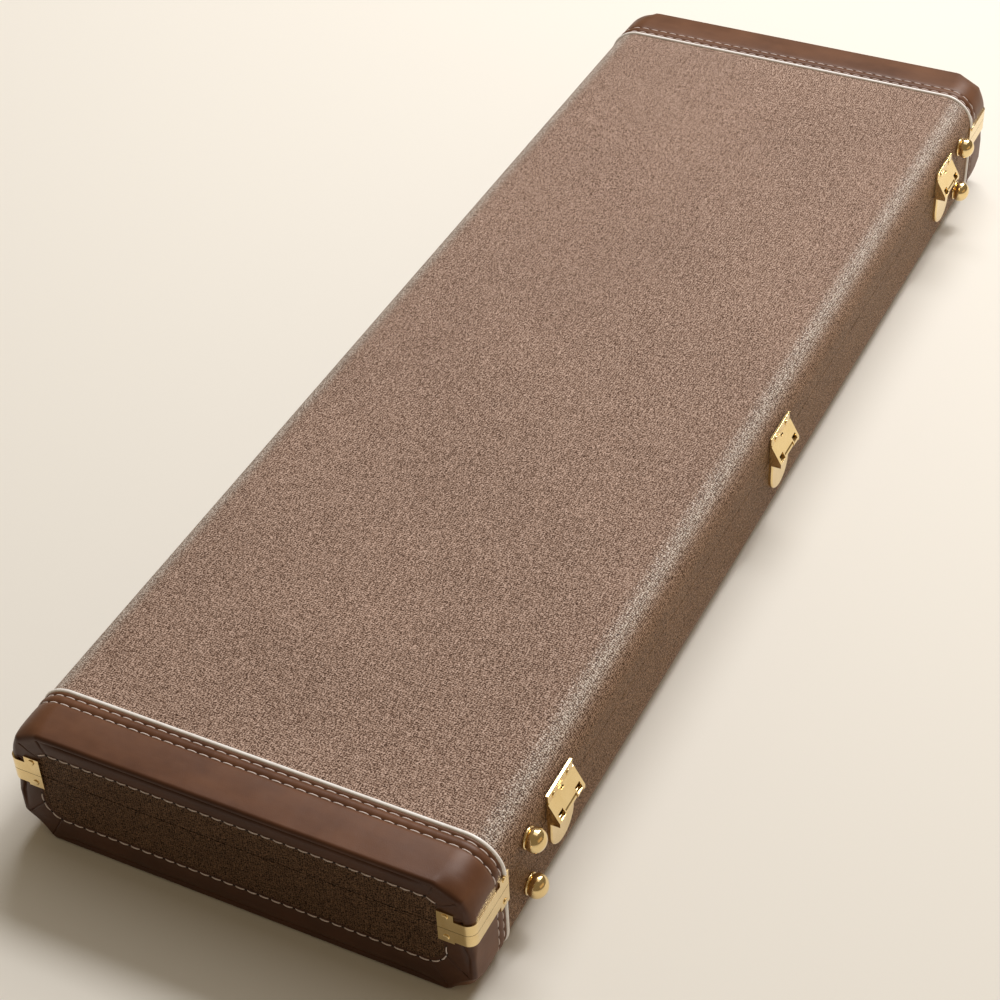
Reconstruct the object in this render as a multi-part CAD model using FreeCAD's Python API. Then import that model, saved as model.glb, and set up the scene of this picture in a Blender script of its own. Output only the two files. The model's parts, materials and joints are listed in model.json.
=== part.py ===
"""Rectangular hard-shell guitar case, lying flat with its lid shut.

Millimetres, +Z up.  The origin is the middle of the underside.  X runs along the
case (the leather end at +X is called near, the one at -X far), +Y is the hinge
side and -Y is the side with the latches and the handle.
"""
import FreeCAD
import Part
import math
import os

V = FreeCAD.Vector
X_AXIS = V(1, 0, 0)
Y_AXIS = V(0, 1, 0)

# Outside of the case
LENGTH = 1050.0
WIDTH = 354.0
HEIGHT = 106.0
PARTING = 66.5            # height of the split between base and lid
PARTING_GAP = 0.4
TOP_RADIUS = 26.5         # long edges of the lid
BOTTOM_RADIUS = 23.0      # long edges of the base
END_ROUND = 6.0           # edge between an end face and the long faces

# Layers, from outside to inside
SKIN = 1.0                # covering cloth and leather
PLY = 6.0
FLOOR_CLEARANCE = 0.3     # side skins stop this far above the floor
FIT = 0.2                 # gap round loose sheets
SPARE = 50.0              # how far cutting shapes reach past the case

# Leather ends
CAP_DEPTH = 45.0
WINDOW_HALF = 157.0       # cloth window left in the leather of an end face
WINDOW_BOTTOM = 25.0
WINDOW_TOP = 90.5
PIPING = 2.4
PIPING_PROUD = 1.2

# Strip inside the rim
LIP_BOTTOM = 50.0
LIP_RISE = 4.0            # above the parting line
LIP_THICK = 1.5
LIP_GAP = 0.8

# Hinges
HINGE_STATIONS = {"far": -399.0, "middle": 0.0, "near": 399.0}
HINGE_STANDOFF = 7.0      # hinge axis to the wall
SHEET = 1.2               # pressed metal
PIN_RADIUS = 1.5
HINGE_PIN_PLAY = 0.06
PAN_HALF = 18.5
PAN_DEPTH = 2.2
LEAF_DEPTH = 3.2
PAN_BOTTOM = 73.0
PAN_TOP = 89.5
PAN_ROUND = 0.9
PAN_SLOT_HALF = 2.2
PAN_SLOT = (80.4, 81.8)
PAN_RIVETS = [(-10.8, 84.7), (10.8, 84.7)]
EAR_HALF = 19.6
EAR_REACH = 3.5           # ear face beyond the hinge axis
EAR_ROOT = PAN_TOP - 7.0
EAR_BEND = PARTING + 1.0
EAR_TIP = PARTING - 0.5
CHEEK_TIP = PARTING - 2.5
EAR_WINDOW_STATION = 13.0
EAR_WINDOW_HALF = 3.4
EAR_WINDOW = (67.9, 72.6)
KNUCKLE_RADIUS = 2.9
KNUCKLE_HALF = 7.8
KNUCKLE_ROOM = 0.6
KNUCKLE_NOTCH = (62.5, 70.2)
TONGUE_HALF = 17.5
TONGUE_TOP = 63.5
TONGUE_TIP = 31.0
TONGUE_ROUND = 1.4

# Small hardware
RIVET_HEAD = 2.3
RIVET_SHANK = 1.2
RIVET_DOME = 0.9
FOOT_STATION = 446.0
FOOT_HEIGHTS = {"lid": 79.0, "base": 33.0}
FOOT_BALL = 8.0
FOOT_COLLAR = 7.0
FOOT_COLLAR_DEPTH = 3.0
FOOT_BALL_STANDOFF = 6.0      # ball's middle to the wall
CLAMP_SIDE = 50.0         # leg of a corner clamp along the side
CLAMP_END = 26.0          # leg of a corner clamp across the end
CLAMP_TAB = 12.0
CLAMP_BAND = (56.0, 76.0)
CLAMP_SIDE_TAB = (51.0, 80.0)
CLAMP_END_TAB = (54.0, 82.0)
CLAMP_SIDE_RIVETS = {True: 77.0, False: 55.5}     # heights on the lid and on the base
CLAMP_END_RIVETS = {True: 78.5, False: 58.5}

# Latches
LATCH_STATIONS = {"far": -399.0, "lock": 150.0, "near": 399.0}
SHEET_ON_WALL = 1.5
LATCH_PIVOT = (4.5, 58.0)     # out from the wall, height
LOOP_PIVOT = (5.6, 50.0)
LATCH_PLATE_HALF = 18.5
LATCH_PLATE_TOP = 63.0
LATCH_PLATE_TIP = 28.0
LATCH_PLATE_RIVETS = [(-14.5, 42.0), (14.5, 42.0)]
LATCH_EAR_STATION = 15.6
LATCH_EAR_HALF = 0.8
LATCH_EAR_REACH = 3.0         # past the pivot
LATCH_EAR_TALL = 3.5
CATCH_HALF = 17.0
CATCH_PLATE = (69.0, 84.0)
CATCH_ROUND = 3.0
CATCH_LIP_HALF = 7.0
CATCH_LIP_REACH = 4.5
CATCH_LIP = (72.0, 74.6)
CATCH_RIVETS = [(-11.0, 79.0), (11.0, 79.0)]
LEVER_FACE = (7.0, 8.5)
LEVER_HALF = 13.6
LEVER_TIP = 31.5
LEVER_SLOT_HALF = 9.4
LEVER_SLOT_BELOW = 4.5        # below the loop's pin
RIB_STATION = 11.6
RIB_HALF = 1.0
RIB_BACK = 2.6
RIB_BELOW = 3.0
RIB_ABOVE = 1.2
STUB_REACH = 16.3
LOOP_PIN_RADIUS = 1.2
LOOP_PIN_HALF = 12.5
STRAP_HALF = 8.0
STRAP_FACE = (5.0, 6.2)
STRAP_TOP = 76.0
HOOK_REACH = 2.0              # hook's tip to the wall

# Handle
HANDLE_PIVOT = (8.0, 54.0)
HANDLE_PIN_RADIUS = 2.0
HANDLE_PIN_HALF = 6.6
HANDLE_DROP = 32.0
GRIP_HALF = 62.0
GRIP_THICK = 13.0
GRIP_TALL = 22.0
GRIP_ROUND = 5.5
ARM_HALF = 3.0
ARM_THICK_HALF = 2.8
ARM_BELOW = 4.0
SHOE_THICK_HALF = 4.0
SHOE_TALL_HALF = 6.0
SHOE_GAP = 0.1
BRACKET_STATION = 72.0
BRACKET_HALF = 11.0
BRACKET_PLATE = (37.0, 63.0)
BRACKET_RIVETS = [(-7.0, 42.0), (7.0, 42.0)]
CHEEK_STATION = 5.5
CHEEK_HALF = 1.2
CHEEK_REACH = 4.0             # past the pivot

# Inside
PAD_GAP = 0.3
FLOOR_PAD_TOP = 13.0
BLOCK_TOP = 62.0
CHANNEL_HALF = 34.0
HEAD_HALF = 75.0
BODY_START = 105.0
BODY_END_PAD = 460.0
BODY_END_BULGE = (420.0, 85.0)     # radius and station of the guitar's round end
WAIST_STATION = 290.0
WAIST_DEPTH = 40.0
WAIST_HALF_CHORD = 110.0
SHOULDER_ROUND = 45.0
BLOCK_ROUND = 4.0
CRADLE = (-180.0, -120.0)
CRADLE_TOP = 50.0
CRADLE_CURVE = (44.0, 88.0)        # radius and height of the neck's seat
LINING_END_GAP = 2.6
FLOOR_PAD_HALF = 150.0
END_PAD_HALF = 156.0
LID_PAD_HALF = (505.0, 148.0)
LID_PAD_BOTTOM = 74.0
LID_PAD_ROUND = 9.0
HEAD_START = -303.0
COMPARTMENT = (-300.0, -5.0)
COMPARTMENT_TOP = 54.0
COMPARTMENT_WALL = 4.0
FLAP_PIVOT = (164.5, 57.2)
FLAP_GAP = 0.5
FLAP_INSET = 1.0
FLAP_ROUND = 2.0
TAB_HALF = 11.0
TAB_REACH = (14.0, 0.8)            # out from the flap's edge, and under it
TAB_FACES = (-1.2, 0.4)            # from the flap's pivot height

HALF = WIDTH / 2
END = LENGTH / 2
CAP_START = END - CAP_DEPTH
INNER = SKIN + PLY
INNER_END = END - INNER
INNER_HALF = HALF - INNER
LINING_HALF = INNER_HALF - 4.0
BASE_RIM = PARTING - PARTING_GAP / 2
LID_RIM = PARTING + PARTING_GAP / 2
HINGE_Y = HALF + HINGE_STANDOFF


def save(name, *solids):
    shape = solids[0] if len(solids) == 1 else Part.makeCompound(list(solids))
    shape.exportStep("parts/" + name + ".step")


def box(x0, x1, y0, y1, z0, z1):
    return Part.makeBox(x1 - x0, y1 - y0, z1 - z0, V(x0, y0, z0))


def rod_x(radius, x0, x1, y, z):
    return Part.makeCylinder(radius, x1 - x0, V(x0, y, z), X_AXIS)


def rod_y(radius, x, y0, y1, z):
    return Part.makeCylinder(radius, y1 - y0, V(x, y0, z), Y_AXIS)


def column(radius, x, y, z0, z1):
    return Part.makeCylinder(radius, z1 - z0, V(x, y, z0))


def biggest(shape):
    return max(shape.Solids, key=lambda solid: solid.Volume)


def mirrored_y(shape):
    return shape.mirror(V(0, 0, 0), Y_AXIS)


def mirrored_x(shape):
    return shape.mirror(V(0, 0, 0), X_AXIS)


def section(offset, x0, x1):
    """The case's rounded cross-section, inset by offset and run from x0 to x1."""
    y, low, high = HALF - offset, offset, HEIGHT - offset
    top, bottom = TOP_RADIUS - offset, BOTTOM_RADIUS - offset
    corners = [(y, low, bottom, -45), (y, high, top, 45), (-y, high, top, 135), (-y, low, bottom, 225)]
    edges = []
    start = None
    last = None
    for cy, cz, radius, middle in corners:
        side, level = math.copysign(1, cy), 1 if cz == high else -1
        centre = (cy - side * radius, cz - level * radius)
        turn = [math.radians(middle + step) for step in (-45, 0, 45)]
        points = [V(x0, centre[0] + radius * math.cos(a), centre[1] + radius * math.sin(a)) for a in turn]
        if last is not None:
            edges.append(Part.LineSegment(last, points[0]).toShape())
        edges.append(Part.Arc(*points).toShape())
        start = start or points[0]
        last = points[2]
    edges.append(Part.LineSegment(last, start).toShape())
    return Part.Face(Part.Wire(edges)).extrude(V(x1 - x0, 0, 0))


def rounded_end(shape, x, radius):
    """Round the outline edge that lies in the plane at x."""
    rim = [edge for edge in shape.Edges
           if abs(edge.BoundBox.XMin - x) < 1e-3 and abs(edge.BoundBox.XMax - x) < 1e-3]
    return shape.makeFillet(radius, rim)


def above(shape, z=LID_RIM):
    return shape.common(box(-END - SPARE, END + SPARE, -HALF - SPARE, HALF + SPARE, z, HEIGHT + SPARE))


def below(shape, z=BASE_RIM):
    return shape.common(box(-END - SPARE, END + SPARE, -HALF - SPARE, HALF + SPARE, -SPARE, z))


def clear_of_floor(shape):
    return above(shape, FLOOR_CLEARANCE)


def plywood():
    """Base and lid are trays of five plywood pieces each."""
    ring = section(SKIN, -INNER_END, INNER_END).cut(section(INNER, -INNER_END - 1, INNER_END + 1))
    flat_base = HALF - BOTTOM_RADIUS
    flat_lid = HALF - TOP_RADIUS
    save("base_bottom_panel", ring.common(box(-END, END, -flat_base, flat_base, 0, INNER + 1)))
    save("lid_top_panel", ring.common(box(-END, END, -flat_lid, flat_lid, HEIGHT - INNER - 1, HEIGHT)))
    base_top, lid_bottom = BASE_RIM - SKIN, LID_RIM + SKIN   # the cloth folds over the plywood's rims
    base_wall = biggest(below(ring, base_top).common(box(-END, END, flat_base, HALF, 0, HEIGHT)))
    lid_wall = biggest(above(ring, lid_bottom).common(box(-END, END, flat_lid, HALF, 0, HEIGHT)))
    save("base_back_wall", base_wall)
    save("base_front_wall", mirrored_y(base_wall))
    save("lid_back_wall", lid_wall)
    save("lid_front_wall", mirrored_y(lid_wall))
    end = rounded_end(section(SKIN, INNER_END, END - SKIN), END - SKIN, END_ROUND - SKIN)
    for side, turn in (("near", lambda s: s), ("far", mirrored_x)):
        save("base_" + side + "_end", turn(below(end, base_top)))
        save("lid_" + side + "_end", turn(above(end, lid_bottom)))


def covering():
    """Cloth skins on the long faces and in the windows of the end faces."""
    reach = CAP_START - FIT
    skin = section(0, -reach, reach).cut(section(SKIN, -END, END))
    flat = HALF - BOTTOM_RADIUS - FIT
    save("lid_cover", biggest(above(skin)))
    save("base_bottom_cover", box(-reach, reach, -flat, flat, 0, SKIN))
    strip = biggest(clear_of_floor(below(skin)).common(box(-END, END, flat + FIT, HALF, 0, HEIGHT)))
    save("base_side_covers", strip, mirrored_y(strip))
    half = WINDOW_HALF - FIT
    upper = box(END - SKIN, END, -half, half, LID_RIM, WINDOW_TOP - FIT)
    lower = box(END - SKIN, END, -half, half, WINDOW_BOTTOM + FIT, BASE_RIM)
    save("lid_end_covers", upper, mirrored_x(upper))
    save("base_end_covers", lower, mirrored_x(lower))


def leather_ends():
    """Leather wraps: a band round the case and a border on the end face."""
    outer = rounded_end(section(0, CAP_START, END), END, END_ROUND)
    inner = rounded_end(section(SKIN, CAP_START - 1, END - SKIN), END - SKIN, END_ROUND - SKIN)
    window = box(END - 2 * SKIN, END + 1, -WINDOW_HALF, WINDOW_HALF, WINDOW_BOTTOM, WINDOW_TOP)
    wrap = outer.cut(inner).cut(window)
    lid_cap = biggest(above(wrap))
    base_cap = biggest(clear_of_floor(below(wrap)))
    save("lid_near_cap", lid_cap)
    save("lid_far_cap", mirrored_x(lid_cap))
    save("base_near_cap", base_cap)
    save("base_far_cap", mirrored_x(base_cap))
    bead = section(-PIPING_PROUD, CAP_START - PIPING / 2, CAP_START + PIPING / 2).cut(
        section(0, CAP_START - PIPING, CAP_START + PIPING))
    clamp_low, clamp_high = CLAMP_SIDE_TAB
    lid_bead = above(bead, clamp_high + FIT).Solids[0]
    base_beads = clear_of_floor(below(bead, clamp_low - FIT)).Solids
    save("lid_piping", lid_bead, mirrored_x(lid_bead))
    save("base_piping", *base_beads, *[mirrored_x(solid) for solid in base_beads])


def rim_strip():
    """Thin inner strip that stands up from the base into the lid."""
    low, high, thick = LIP_BOTTOM, PARTING + LIP_RISE, LIP_THICK
    outer_x, outer_y = INNER_END - LIP_GAP, INNER_HALF - LIP_GAP
    ring = box(-outer_x, outer_x, -outer_y, outer_y, low, high)
    hole = box(thick - outer_x, outer_x - thick, thick - outer_y, outer_y - thick, low - 1, high + 1)
    save("base_lip", ring.cut(hole))


def rivet(x, z, face, wall=HALF):
    """Domed head on a face at y = face, with its shank down to the wall."""
    head = rod_y(RIVET_HEAD, x, face, face + RIVET_DOME, z)
    rim = [edge for edge in head.Edges if abs(edge.BoundBox.YMin - face - RIVET_DOME) < 1e-3]
    head = head.makeFillet(RIVET_DOME * 0.8, rim)
    return head.fuse(rod_y(RIVET_SHANK, x, wall, face + 0.1, z)).removeSplitter()


def rivet_hole(x, z, face, wall=HALF):
    return rod_y(RIVET_SHANK + FIT / 2, x, wall - 1, face + 1, z)


def upright(shape, x):
    """Turn a piece made on the +Y wall so that it stands on the +X end face, x along y."""
    turned = shape.copy()
    turned.rotate(V(0, 0, 0), V(0, 0, 1), -90)
    turned.translate(V(x, 0, 0))
    return turned


def hinge_upper(x):
    """Dished plate with two ears that carry the pin in front of the wall."""
    face = HALF + PAN_DEPTH
    pan = box(x - PAN_HALF, x + PAN_HALF, HALF, face, PAN_BOTTOM, PAN_TOP)
    pan = pan.makeFillet(PAN_ROUND, [edge for edge in pan.Edges if edge.BoundBox.YMin > HALF + 0.1])
    hollow = box(x - PAN_HALF + SHEET, x + PAN_HALF - SHEET, HALF - 1, face - SHEET,
                 PAN_BOTTOM + SHEET, PAN_TOP - SHEET)
    plate = pan.cut(hollow)
    ear_y = HINGE_Y + EAR_REACH
    slant = SHEET / 2
    profile = [(face, EAR_ROOT), (ear_y, EAR_BEND), (ear_y, EAR_TIP), (ear_y - SHEET, EAR_TIP),
               (ear_y - SHEET, EAR_BEND - slant), (face - SHEET, EAR_ROOT - SHEET), (face - SHEET, EAR_ROOT)]
    sheet = prism_x(profile, x - EAR_HALF, x + EAR_HALF)
    cheek_profile = [(face - 1, EAR_ROOT), (face, EAR_ROOT), (ear_y, EAR_BEND), (ear_y, CHEEK_TIP),
                     (face, CHEEK_TIP), (face - 1.5 * SHEET, PARTING + 2)]
    cheeks = [prism_x(cheek_profile, x - EAR_HALF, x - EAR_HALF + SHEET),
              prism_x(cheek_profile, x + EAR_HALF - SHEET, x + EAR_HALF)]
    slot = box(x - PAN_SLOT_HALF, x + PAN_SLOT_HALF, face - 2, ear_y, *PAN_SLOT)
    plate = plate.fuse([sheet] + cheeks).cut(slot)
    for side in (-1, 1):
        middle = x + side * EAR_WINDOW_STATION
        plate = plate.cut(box(middle - EAR_WINDOW_HALF, middle + EAR_WINDOW_HALF, face - 3, ear_y + 1,
                              *EAR_WINDOW))
    room = KNUCKLE_HALF + KNUCKLE_ROOM
    plate = plate.cut(box(x - room, x + room, face - 1.5, ear_y + 1, *KNUCKLE_NOTCH))
    plate = plate.cut(pin_bore(x, PIN_RADIUS, HINGE_Y, PARTING))
    for u, z in PAN_RIVETS:
        plate = plate.cut(rivet_hole(x + u, z, face))
    return biggest(plate.removeSplitter())


def pin_bore(x, radius, y, z):
    """Cutter for the hole of a pin with a little play."""
    return rod_x(radius + HINGE_PIN_PLAY, x - SPARE, x + SPARE, y, z)


def prism_x(profile, x0, x1):
    points = [V(x0, y, z) for y, z in profile]
    return Part.Face(Part.makePolygon(points + points[:1])).extrude(V(x1 - x0, 0, 0))


def tongue(x, half, top, tip, y0, y1):
    """Upright slab with a semicircular lower end."""
    centre = tip + half
    a, b = V(x - half, y0, top), V(x - half, y0, centre)
    c, d = V(x + half, y0, centre), V(x + half, y0, top)
    arc = Part.Arc(b, V(x, y0, tip), c).toShape()
    wire = Part.Wire([Part.LineSegment(a, b).toShape(), arc, Part.LineSegment(c, d).toShape(),
                      Part.LineSegment(d, a).toShape()])
    return Part.Face(wire).extrude(V(0, y1 - y0, 0))


def hinge_lower(x):
    """Rounded dished leaf with the middle knuckle."""
    face = HALF + LEAF_DEPTH
    leaf = tongue(x, TONGUE_HALF, TONGUE_TOP, TONGUE_TIP, HALF, face)
    leaf = leaf.makeFillet(TONGUE_ROUND, [edge for edge in leaf.Edges if edge.BoundBox.YMin > face - 0.1])
    hollow = tongue(x, TONGUE_HALF - SHEET, TONGUE_TOP - SHEET, TONGUE_TIP + SHEET, HALF - 1, face - SHEET)
    strap = box(x - KNUCKLE_HALF, x + KNUCKLE_HALF, face - SHEET, HINGE_Y - KNUCKLE_RADIUS + SHEET,
                TONGUE_TOP - 3, PARTING)
    knuckle = rod_x(KNUCKLE_RADIUS, x - KNUCKLE_HALF, x + KNUCKLE_HALF, HINGE_Y, PARTING)
    leaf = leaf.cut(hollow).fuse([strap, knuckle])
    return biggest(leaf.cut(pin_bore(x, PIN_RADIUS, HINGE_Y, PARTING)).removeSplitter())


def hinges():
    for name, x in HINGE_STATIONS.items():
        save("hinge_upper_" + name, hinge_upper(x))
        save("hinge_lower_" + name, hinge_lower(x))
    reach = EAR_HALF - 0.2
    save("hinge_pins", *[rod_x(PIN_RADIUS, x - reach, x + reach, HINGE_Y, PARTING)
                         for x in HINGE_STATIONS.values()])


def ball_foot(x, z):
    collar = rod_y(FOOT_COLLAR, x, HALF, HALF + FOOT_COLLAR_DEPTH, z)
    ball = Part.makeSphere(FOOT_BALL, V(x, HALF + FOOT_BALL_STANDOFF, z))
    ball = ball.common(box(x - SPARE, x + SPARE, HALF + FOOT_COLLAR_DEPTH - 1, HALF + SPARE,
                           z - SPARE, z + SPARE))
    return collar.fuse(ball).removeSplitter()


def ball_feet():
    for body, z in FOOT_HEIGHTS.items():
        save(body + "_ball_feet", ball_foot(-FOOT_STATION, z), ball_foot(FOOT_STATION, z))


def clamp_strip(z0, z1, leg_x, leg_y):
    """A strip bent round the near hinge-side corner."""
    outer_x, outer_y = END + SHEET, HALF + SHEET
    strip = box(outer_x - leg_x, outer_x, outer_y - leg_y, outer_y, z0, z1)
    corner = [edge for edge in strip.Edges
              if edge.BoundBox.XMin > outer_x - 0.1 and edge.BoundBox.YMin > outer_y - 0.1]
    strip = strip.makeFillet(END_ROUND + SHEET, corner)
    core = box(outer_x - leg_x - 1, END, outer_y - leg_y - 1, HALF, z0 - 1, z1 + 1)
    edge_line = [edge for edge in core.Edges
                 if edge.BoundBox.XMin > END - 0.1 and edge.BoundBox.YMin > HALF - 0.1]
    return strip.cut(core.makeFillet(END_ROUND, edge_line))


def clamp_rivets(lid):
    """Places (x, z) on the side face and (y, z) on the end face."""
    side = (END + SHEET - CLAMP_SIDE + CLAMP_TAB / 2, CLAMP_SIDE_RIVETS[lid])
    end = (HALF + SHEET - CLAMP_END + CLAMP_TAB / 2, CLAMP_END_RIVETS[lid])
    return side, end


def corner_clamp(lid):
    """Half of the near hinge-side corner clamp, on the lid or on the base."""
    band = clamp_strip(*CLAMP_BAND, CLAMP_SIDE, CLAMP_END)
    full = clamp_strip(*CLAMP_END_TAB, CLAMP_SIDE, CLAMP_END)
    tall = clamp_strip(*CLAMP_SIDE_TAB, CLAMP_SIDE, CLAMP_END)
    x0, y0 = END + SHEET - CLAMP_SIDE, HALF + SHEET - CLAMP_END
    side_tab = tall.common(box(x0, x0 + CLAMP_TAB, HALF, HALF + 5, 0, HEIGHT))
    end_tab = full.common(box(END, END + 5, y0, y0 + CLAMP_TAB, 0, HEIGHT))
    clamp = band.fuse([side_tab, end_tab]).removeSplitter()
    clamp = above(clamp) if lid else below(clamp)
    (sx, sz), (ey, ez) = clamp_rivets(lid)
    clamp = clamp.cut(rivet_hole(sx, sz, HALF + SHEET))
    clamp = clamp.cut(upright(rivet_hole(-ey, ez, SHEET, 0), END))
    return biggest(clamp)


def corner_clamps():
    for body, lid in (("lid", True), ("base", False)):
        clamp = corner_clamp(lid)
        pair = [clamp, mirrored_y(clamp)]
        save(body + "_corners_near", *pair)
        save(body + "_corners_far", *[mirrored_x(solid) for solid in pair])


def corner_rivets(lid):
    (sx, sz), (ey, ez) = clamp_rivets(lid)
    pair = [rivet(sx, sz, HALF + SHEET), upright(rivet(-ey, ez, SHEET, 0), END)]
    four = pair + [mirrored_y(solid) for solid in pair]
    return four + [mirrored_x(solid) for solid in four]


def latch_plate(x):
    """Plate riveted to the base, with two ears for the lever's stub pins."""
    face = HALF + SHEET_ON_WALL
    plate = tongue(x, LATCH_PLATE_HALF, LATCH_PLATE_TOP, LATCH_PLATE_TIP, HALF, face)
    out, up = LATCH_PIVOT
    for side in (-1, 1):
        middle = x + side * LATCH_EAR_STATION
        plate = plate.fuse(box(middle - LATCH_EAR_HALF, middle + LATCH_EAR_HALF,
                               HALF, HALF + out + LATCH_EAR_REACH, up - LATCH_EAR_TALL, up + LATCH_EAR_TALL))
    plate = plate.cut(pin_bore(x, PIN_RADIUS, HALF + out, up))
    for u, z in LATCH_PLATE_RIVETS:
        plate = plate.cut(rivet_hole(x + u, z, face))
    return biggest(plate.removeSplitter())


def latch_catch(x):
    """Plate riveted to the lid, with the lip that the loop pulls on."""
    face = HALF + SHEET_ON_WALL
    plate = box(x - CATCH_HALF, x + CATCH_HALF, HALF, face, *CATCH_PLATE)
    corners = [edge for edge in plate.Edges if edge.Length < SHEET_ON_WALL + 0.1]
    plate = plate.makeFillet(CATCH_ROUND, corners)
    plate = plate.fuse(box(x - CATCH_LIP_HALF, x + CATCH_LIP_HALF, HALF, HALF + CATCH_LIP_REACH, *CATCH_LIP))
    for u, z in CATCH_RIVETS:
        plate = plate.cut(rivet_hole(x + u, z, face))
    return biggest(plate.removeSplitter())


def latch_lever(x):
    """Finger lever: a tongue with two arms, ribs and stub pins."""
    out, up = LATCH_PIVOT
    loop_out, loop_up = LOOP_PIVOT
    y0, y1 = HALF + LEVER_FACE[0], HALF + LEVER_FACE[1]
    lever = tongue(x, LEVER_HALF, up + 0.5, LEVER_TIP, y0, y1)
    lever = lever.cut(box(x - LEVER_SLOT_HALF, x + LEVER_SLOT_HALF, y0 - 1, y1 + 1,
                          loop_up - LEVER_SLOT_BELOW, up + SPARE))
    parts = []
    for side in (-1, 1):
        middle = x + side * RIB_STATION
        parts.append(box(middle - RIB_HALF, middle + RIB_HALF, HALF + RIB_BACK, y0 + 0.2,
                         loop_up - RIB_BELOW, up + RIB_ABOVE))
        inner, outer = sorted((middle, x + side * STUB_REACH))
        parts.append(rod_x(PIN_RADIUS, inner, outer, HALF + out, up))
    lever = lever.fuse(parts)
    lever = lever.cut(pin_bore(x, LOOP_PIN_RADIUS, HALF + loop_out, loop_up))
    return biggest(lever.removeSplitter())


def latch_loop(x):
    """Draw strap: a cross pin in the lever's ribs and a hook over the catch."""
    out, up = LOOP_PIVOT
    inner, outer = HALF + STRAP_FACE[0], HALF + STRAP_FACE[1]
    pin = rod_x(LOOP_PIN_RADIUS, x - LOOP_PIN_HALF, x + LOOP_PIN_HALF, HALF + out, up)
    strap = box(x - STRAP_HALF, x + STRAP_HALF, inner, outer, up, STRAP_TOP)
    hook = box(x - STRAP_HALF, x + STRAP_HALF, HALF + HOOK_REACH, outer, STRAP_TOP - SHEET, STRAP_TOP)
    return biggest(pin.fuse([strap, hook]).removeSplitter())


def latches():
    for name, x in LATCH_STATIONS.items():
        save("latch_lever_" + name, mirrored_y(latch_lever(x)))
        save("latch_loop_" + name, mirrored_y(latch_loop(x)))
    save("latch_plates", *[mirrored_y(latch_plate(x)) for x in LATCH_STATIONS.values()])
    save("latch_catches", *[mirrored_y(latch_catch(x)) for x in LATCH_STATIONS.values()])


def bracket(x):
    """Riveted plate with two cheeks that hold one end of the handle."""
    out, up = HANDLE_PIVOT
    face = HALF + SHEET_ON_WALL
    plate = box(x - BRACKET_HALF, x + BRACKET_HALF, HALF, face, *BRACKET_PLATE)
    for side in (-1, 1):
        middle = x + side * CHEEK_STATION
        plate = plate.fuse(box(middle - CHEEK_HALF, middle + CHEEK_HALF, HALF, HALF + out + CHEEK_REACH,
                               up - CHEEK_REACH, up + CHEEK_REACH))
    plate = plate.cut(pin_bore(x, HANDLE_PIN_RADIUS, HALF + out, up))
    for u, z in BRACKET_RIVETS:
        plate = plate.cut(rivet_hole(x + u, z, face))
    return biggest(plate.removeSplitter())


def handle():
    """Flat leather grip hanging from two metal arms."""
    out, up = HANDLE_PIVOT
    y, z = HALF + out, up - HANDLE_DROP
    grip = box(-GRIP_HALF, GRIP_HALF, y - GRIP_THICK / 2, y + GRIP_THICK / 2,
               z - GRIP_TALL / 2, z + GRIP_TALL / 2)
    grip = grip.makeFillet(GRIP_ROUND, [edge for edge in grip.Edges if edge.Length > GRIP_HALF])
    arms = []
    for side in (-1, 1):
        x = side * BRACKET_STATION
        arm = box(x - ARM_HALF, x + ARM_HALF, y - ARM_THICK_HALF, y + ARM_THICK_HALF,
                  z - ARM_BELOW, up + ARM_THICK_HALF)
        shoe = box(*sorted((side * (GRIP_HALF + SHOE_GAP), x)), y - SHOE_THICK_HALF, y + SHOE_THICK_HALF,
                   z - SHOE_TALL_HALF, z + SHOE_TALL_HALF)
        pin = rod_x(HANDLE_PIN_RADIUS, x - HANDLE_PIN_HALF, x + HANDLE_PIN_HALF, y, up)
        arms.append(biggest(arm.fuse([shoe, pin]).removeSplitter()))
    save("handle_grip", mirrored_y(grip))
    save("handle_arms", *[mirrored_y(arm) for arm in arms])
    save("handle_brackets", *[mirrored_y(bracket(side * BRACKET_STATION)) for side in (-1, 1)])


def rivets():
    """All visible rivets, one group for each body."""
    lid = corner_rivets(True)
    base = corner_rivets(False)
    for x in HINGE_STATIONS.values():
        lid += [rivet(x + u, z, HALF + PAN_DEPTH) for u, z in PAN_RIVETS]
    face = HALF + SHEET_ON_WALL
    for x in LATCH_STATIONS.values():
        lid += [mirrored_y(rivet(x + u, z, face)) for u, z in CATCH_RIVETS]
        base += [mirrored_y(rivet(x + u, z, face)) for u, z in LATCH_PLATE_RIVETS]
    for x in (-BRACKET_STATION, BRACKET_STATION):
        base += [mirrored_y(rivet(x + u, z, face)) for u, z in BRACKET_RIVETS]
    save("lid_rivets", *lid)
    save("base_rivets", *base)


def block(x0, x1, y0, y1, top=BLOCK_TOP):
    return box(x0, x1, y0, y1, FLOOR_PAD_TOP + PAD_GAP, top)


def softened(shape):
    """Round the upper edges of an upholstered block."""
    top = shape.BoundBox.ZMax
    return shape.makeFillet(BLOCK_ROUND, [edge for edge in shape.Edges if edge.BoundBox.ZMin > top - 0.1])


def shoulder(shape, x, y):
    """Round the upright corner at (x, y) where the channel opens into the body space."""
    corner = [edge for edge in shape.Edges
              if abs(edge.BoundBox.XMin - x) < 0.1 and abs(edge.BoundBox.YMin - y) < 0.1
              and edge.BoundBox.ZLength > 10]
    return shape.makeFillet(SHOULDER_ROUND, corner)


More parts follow.
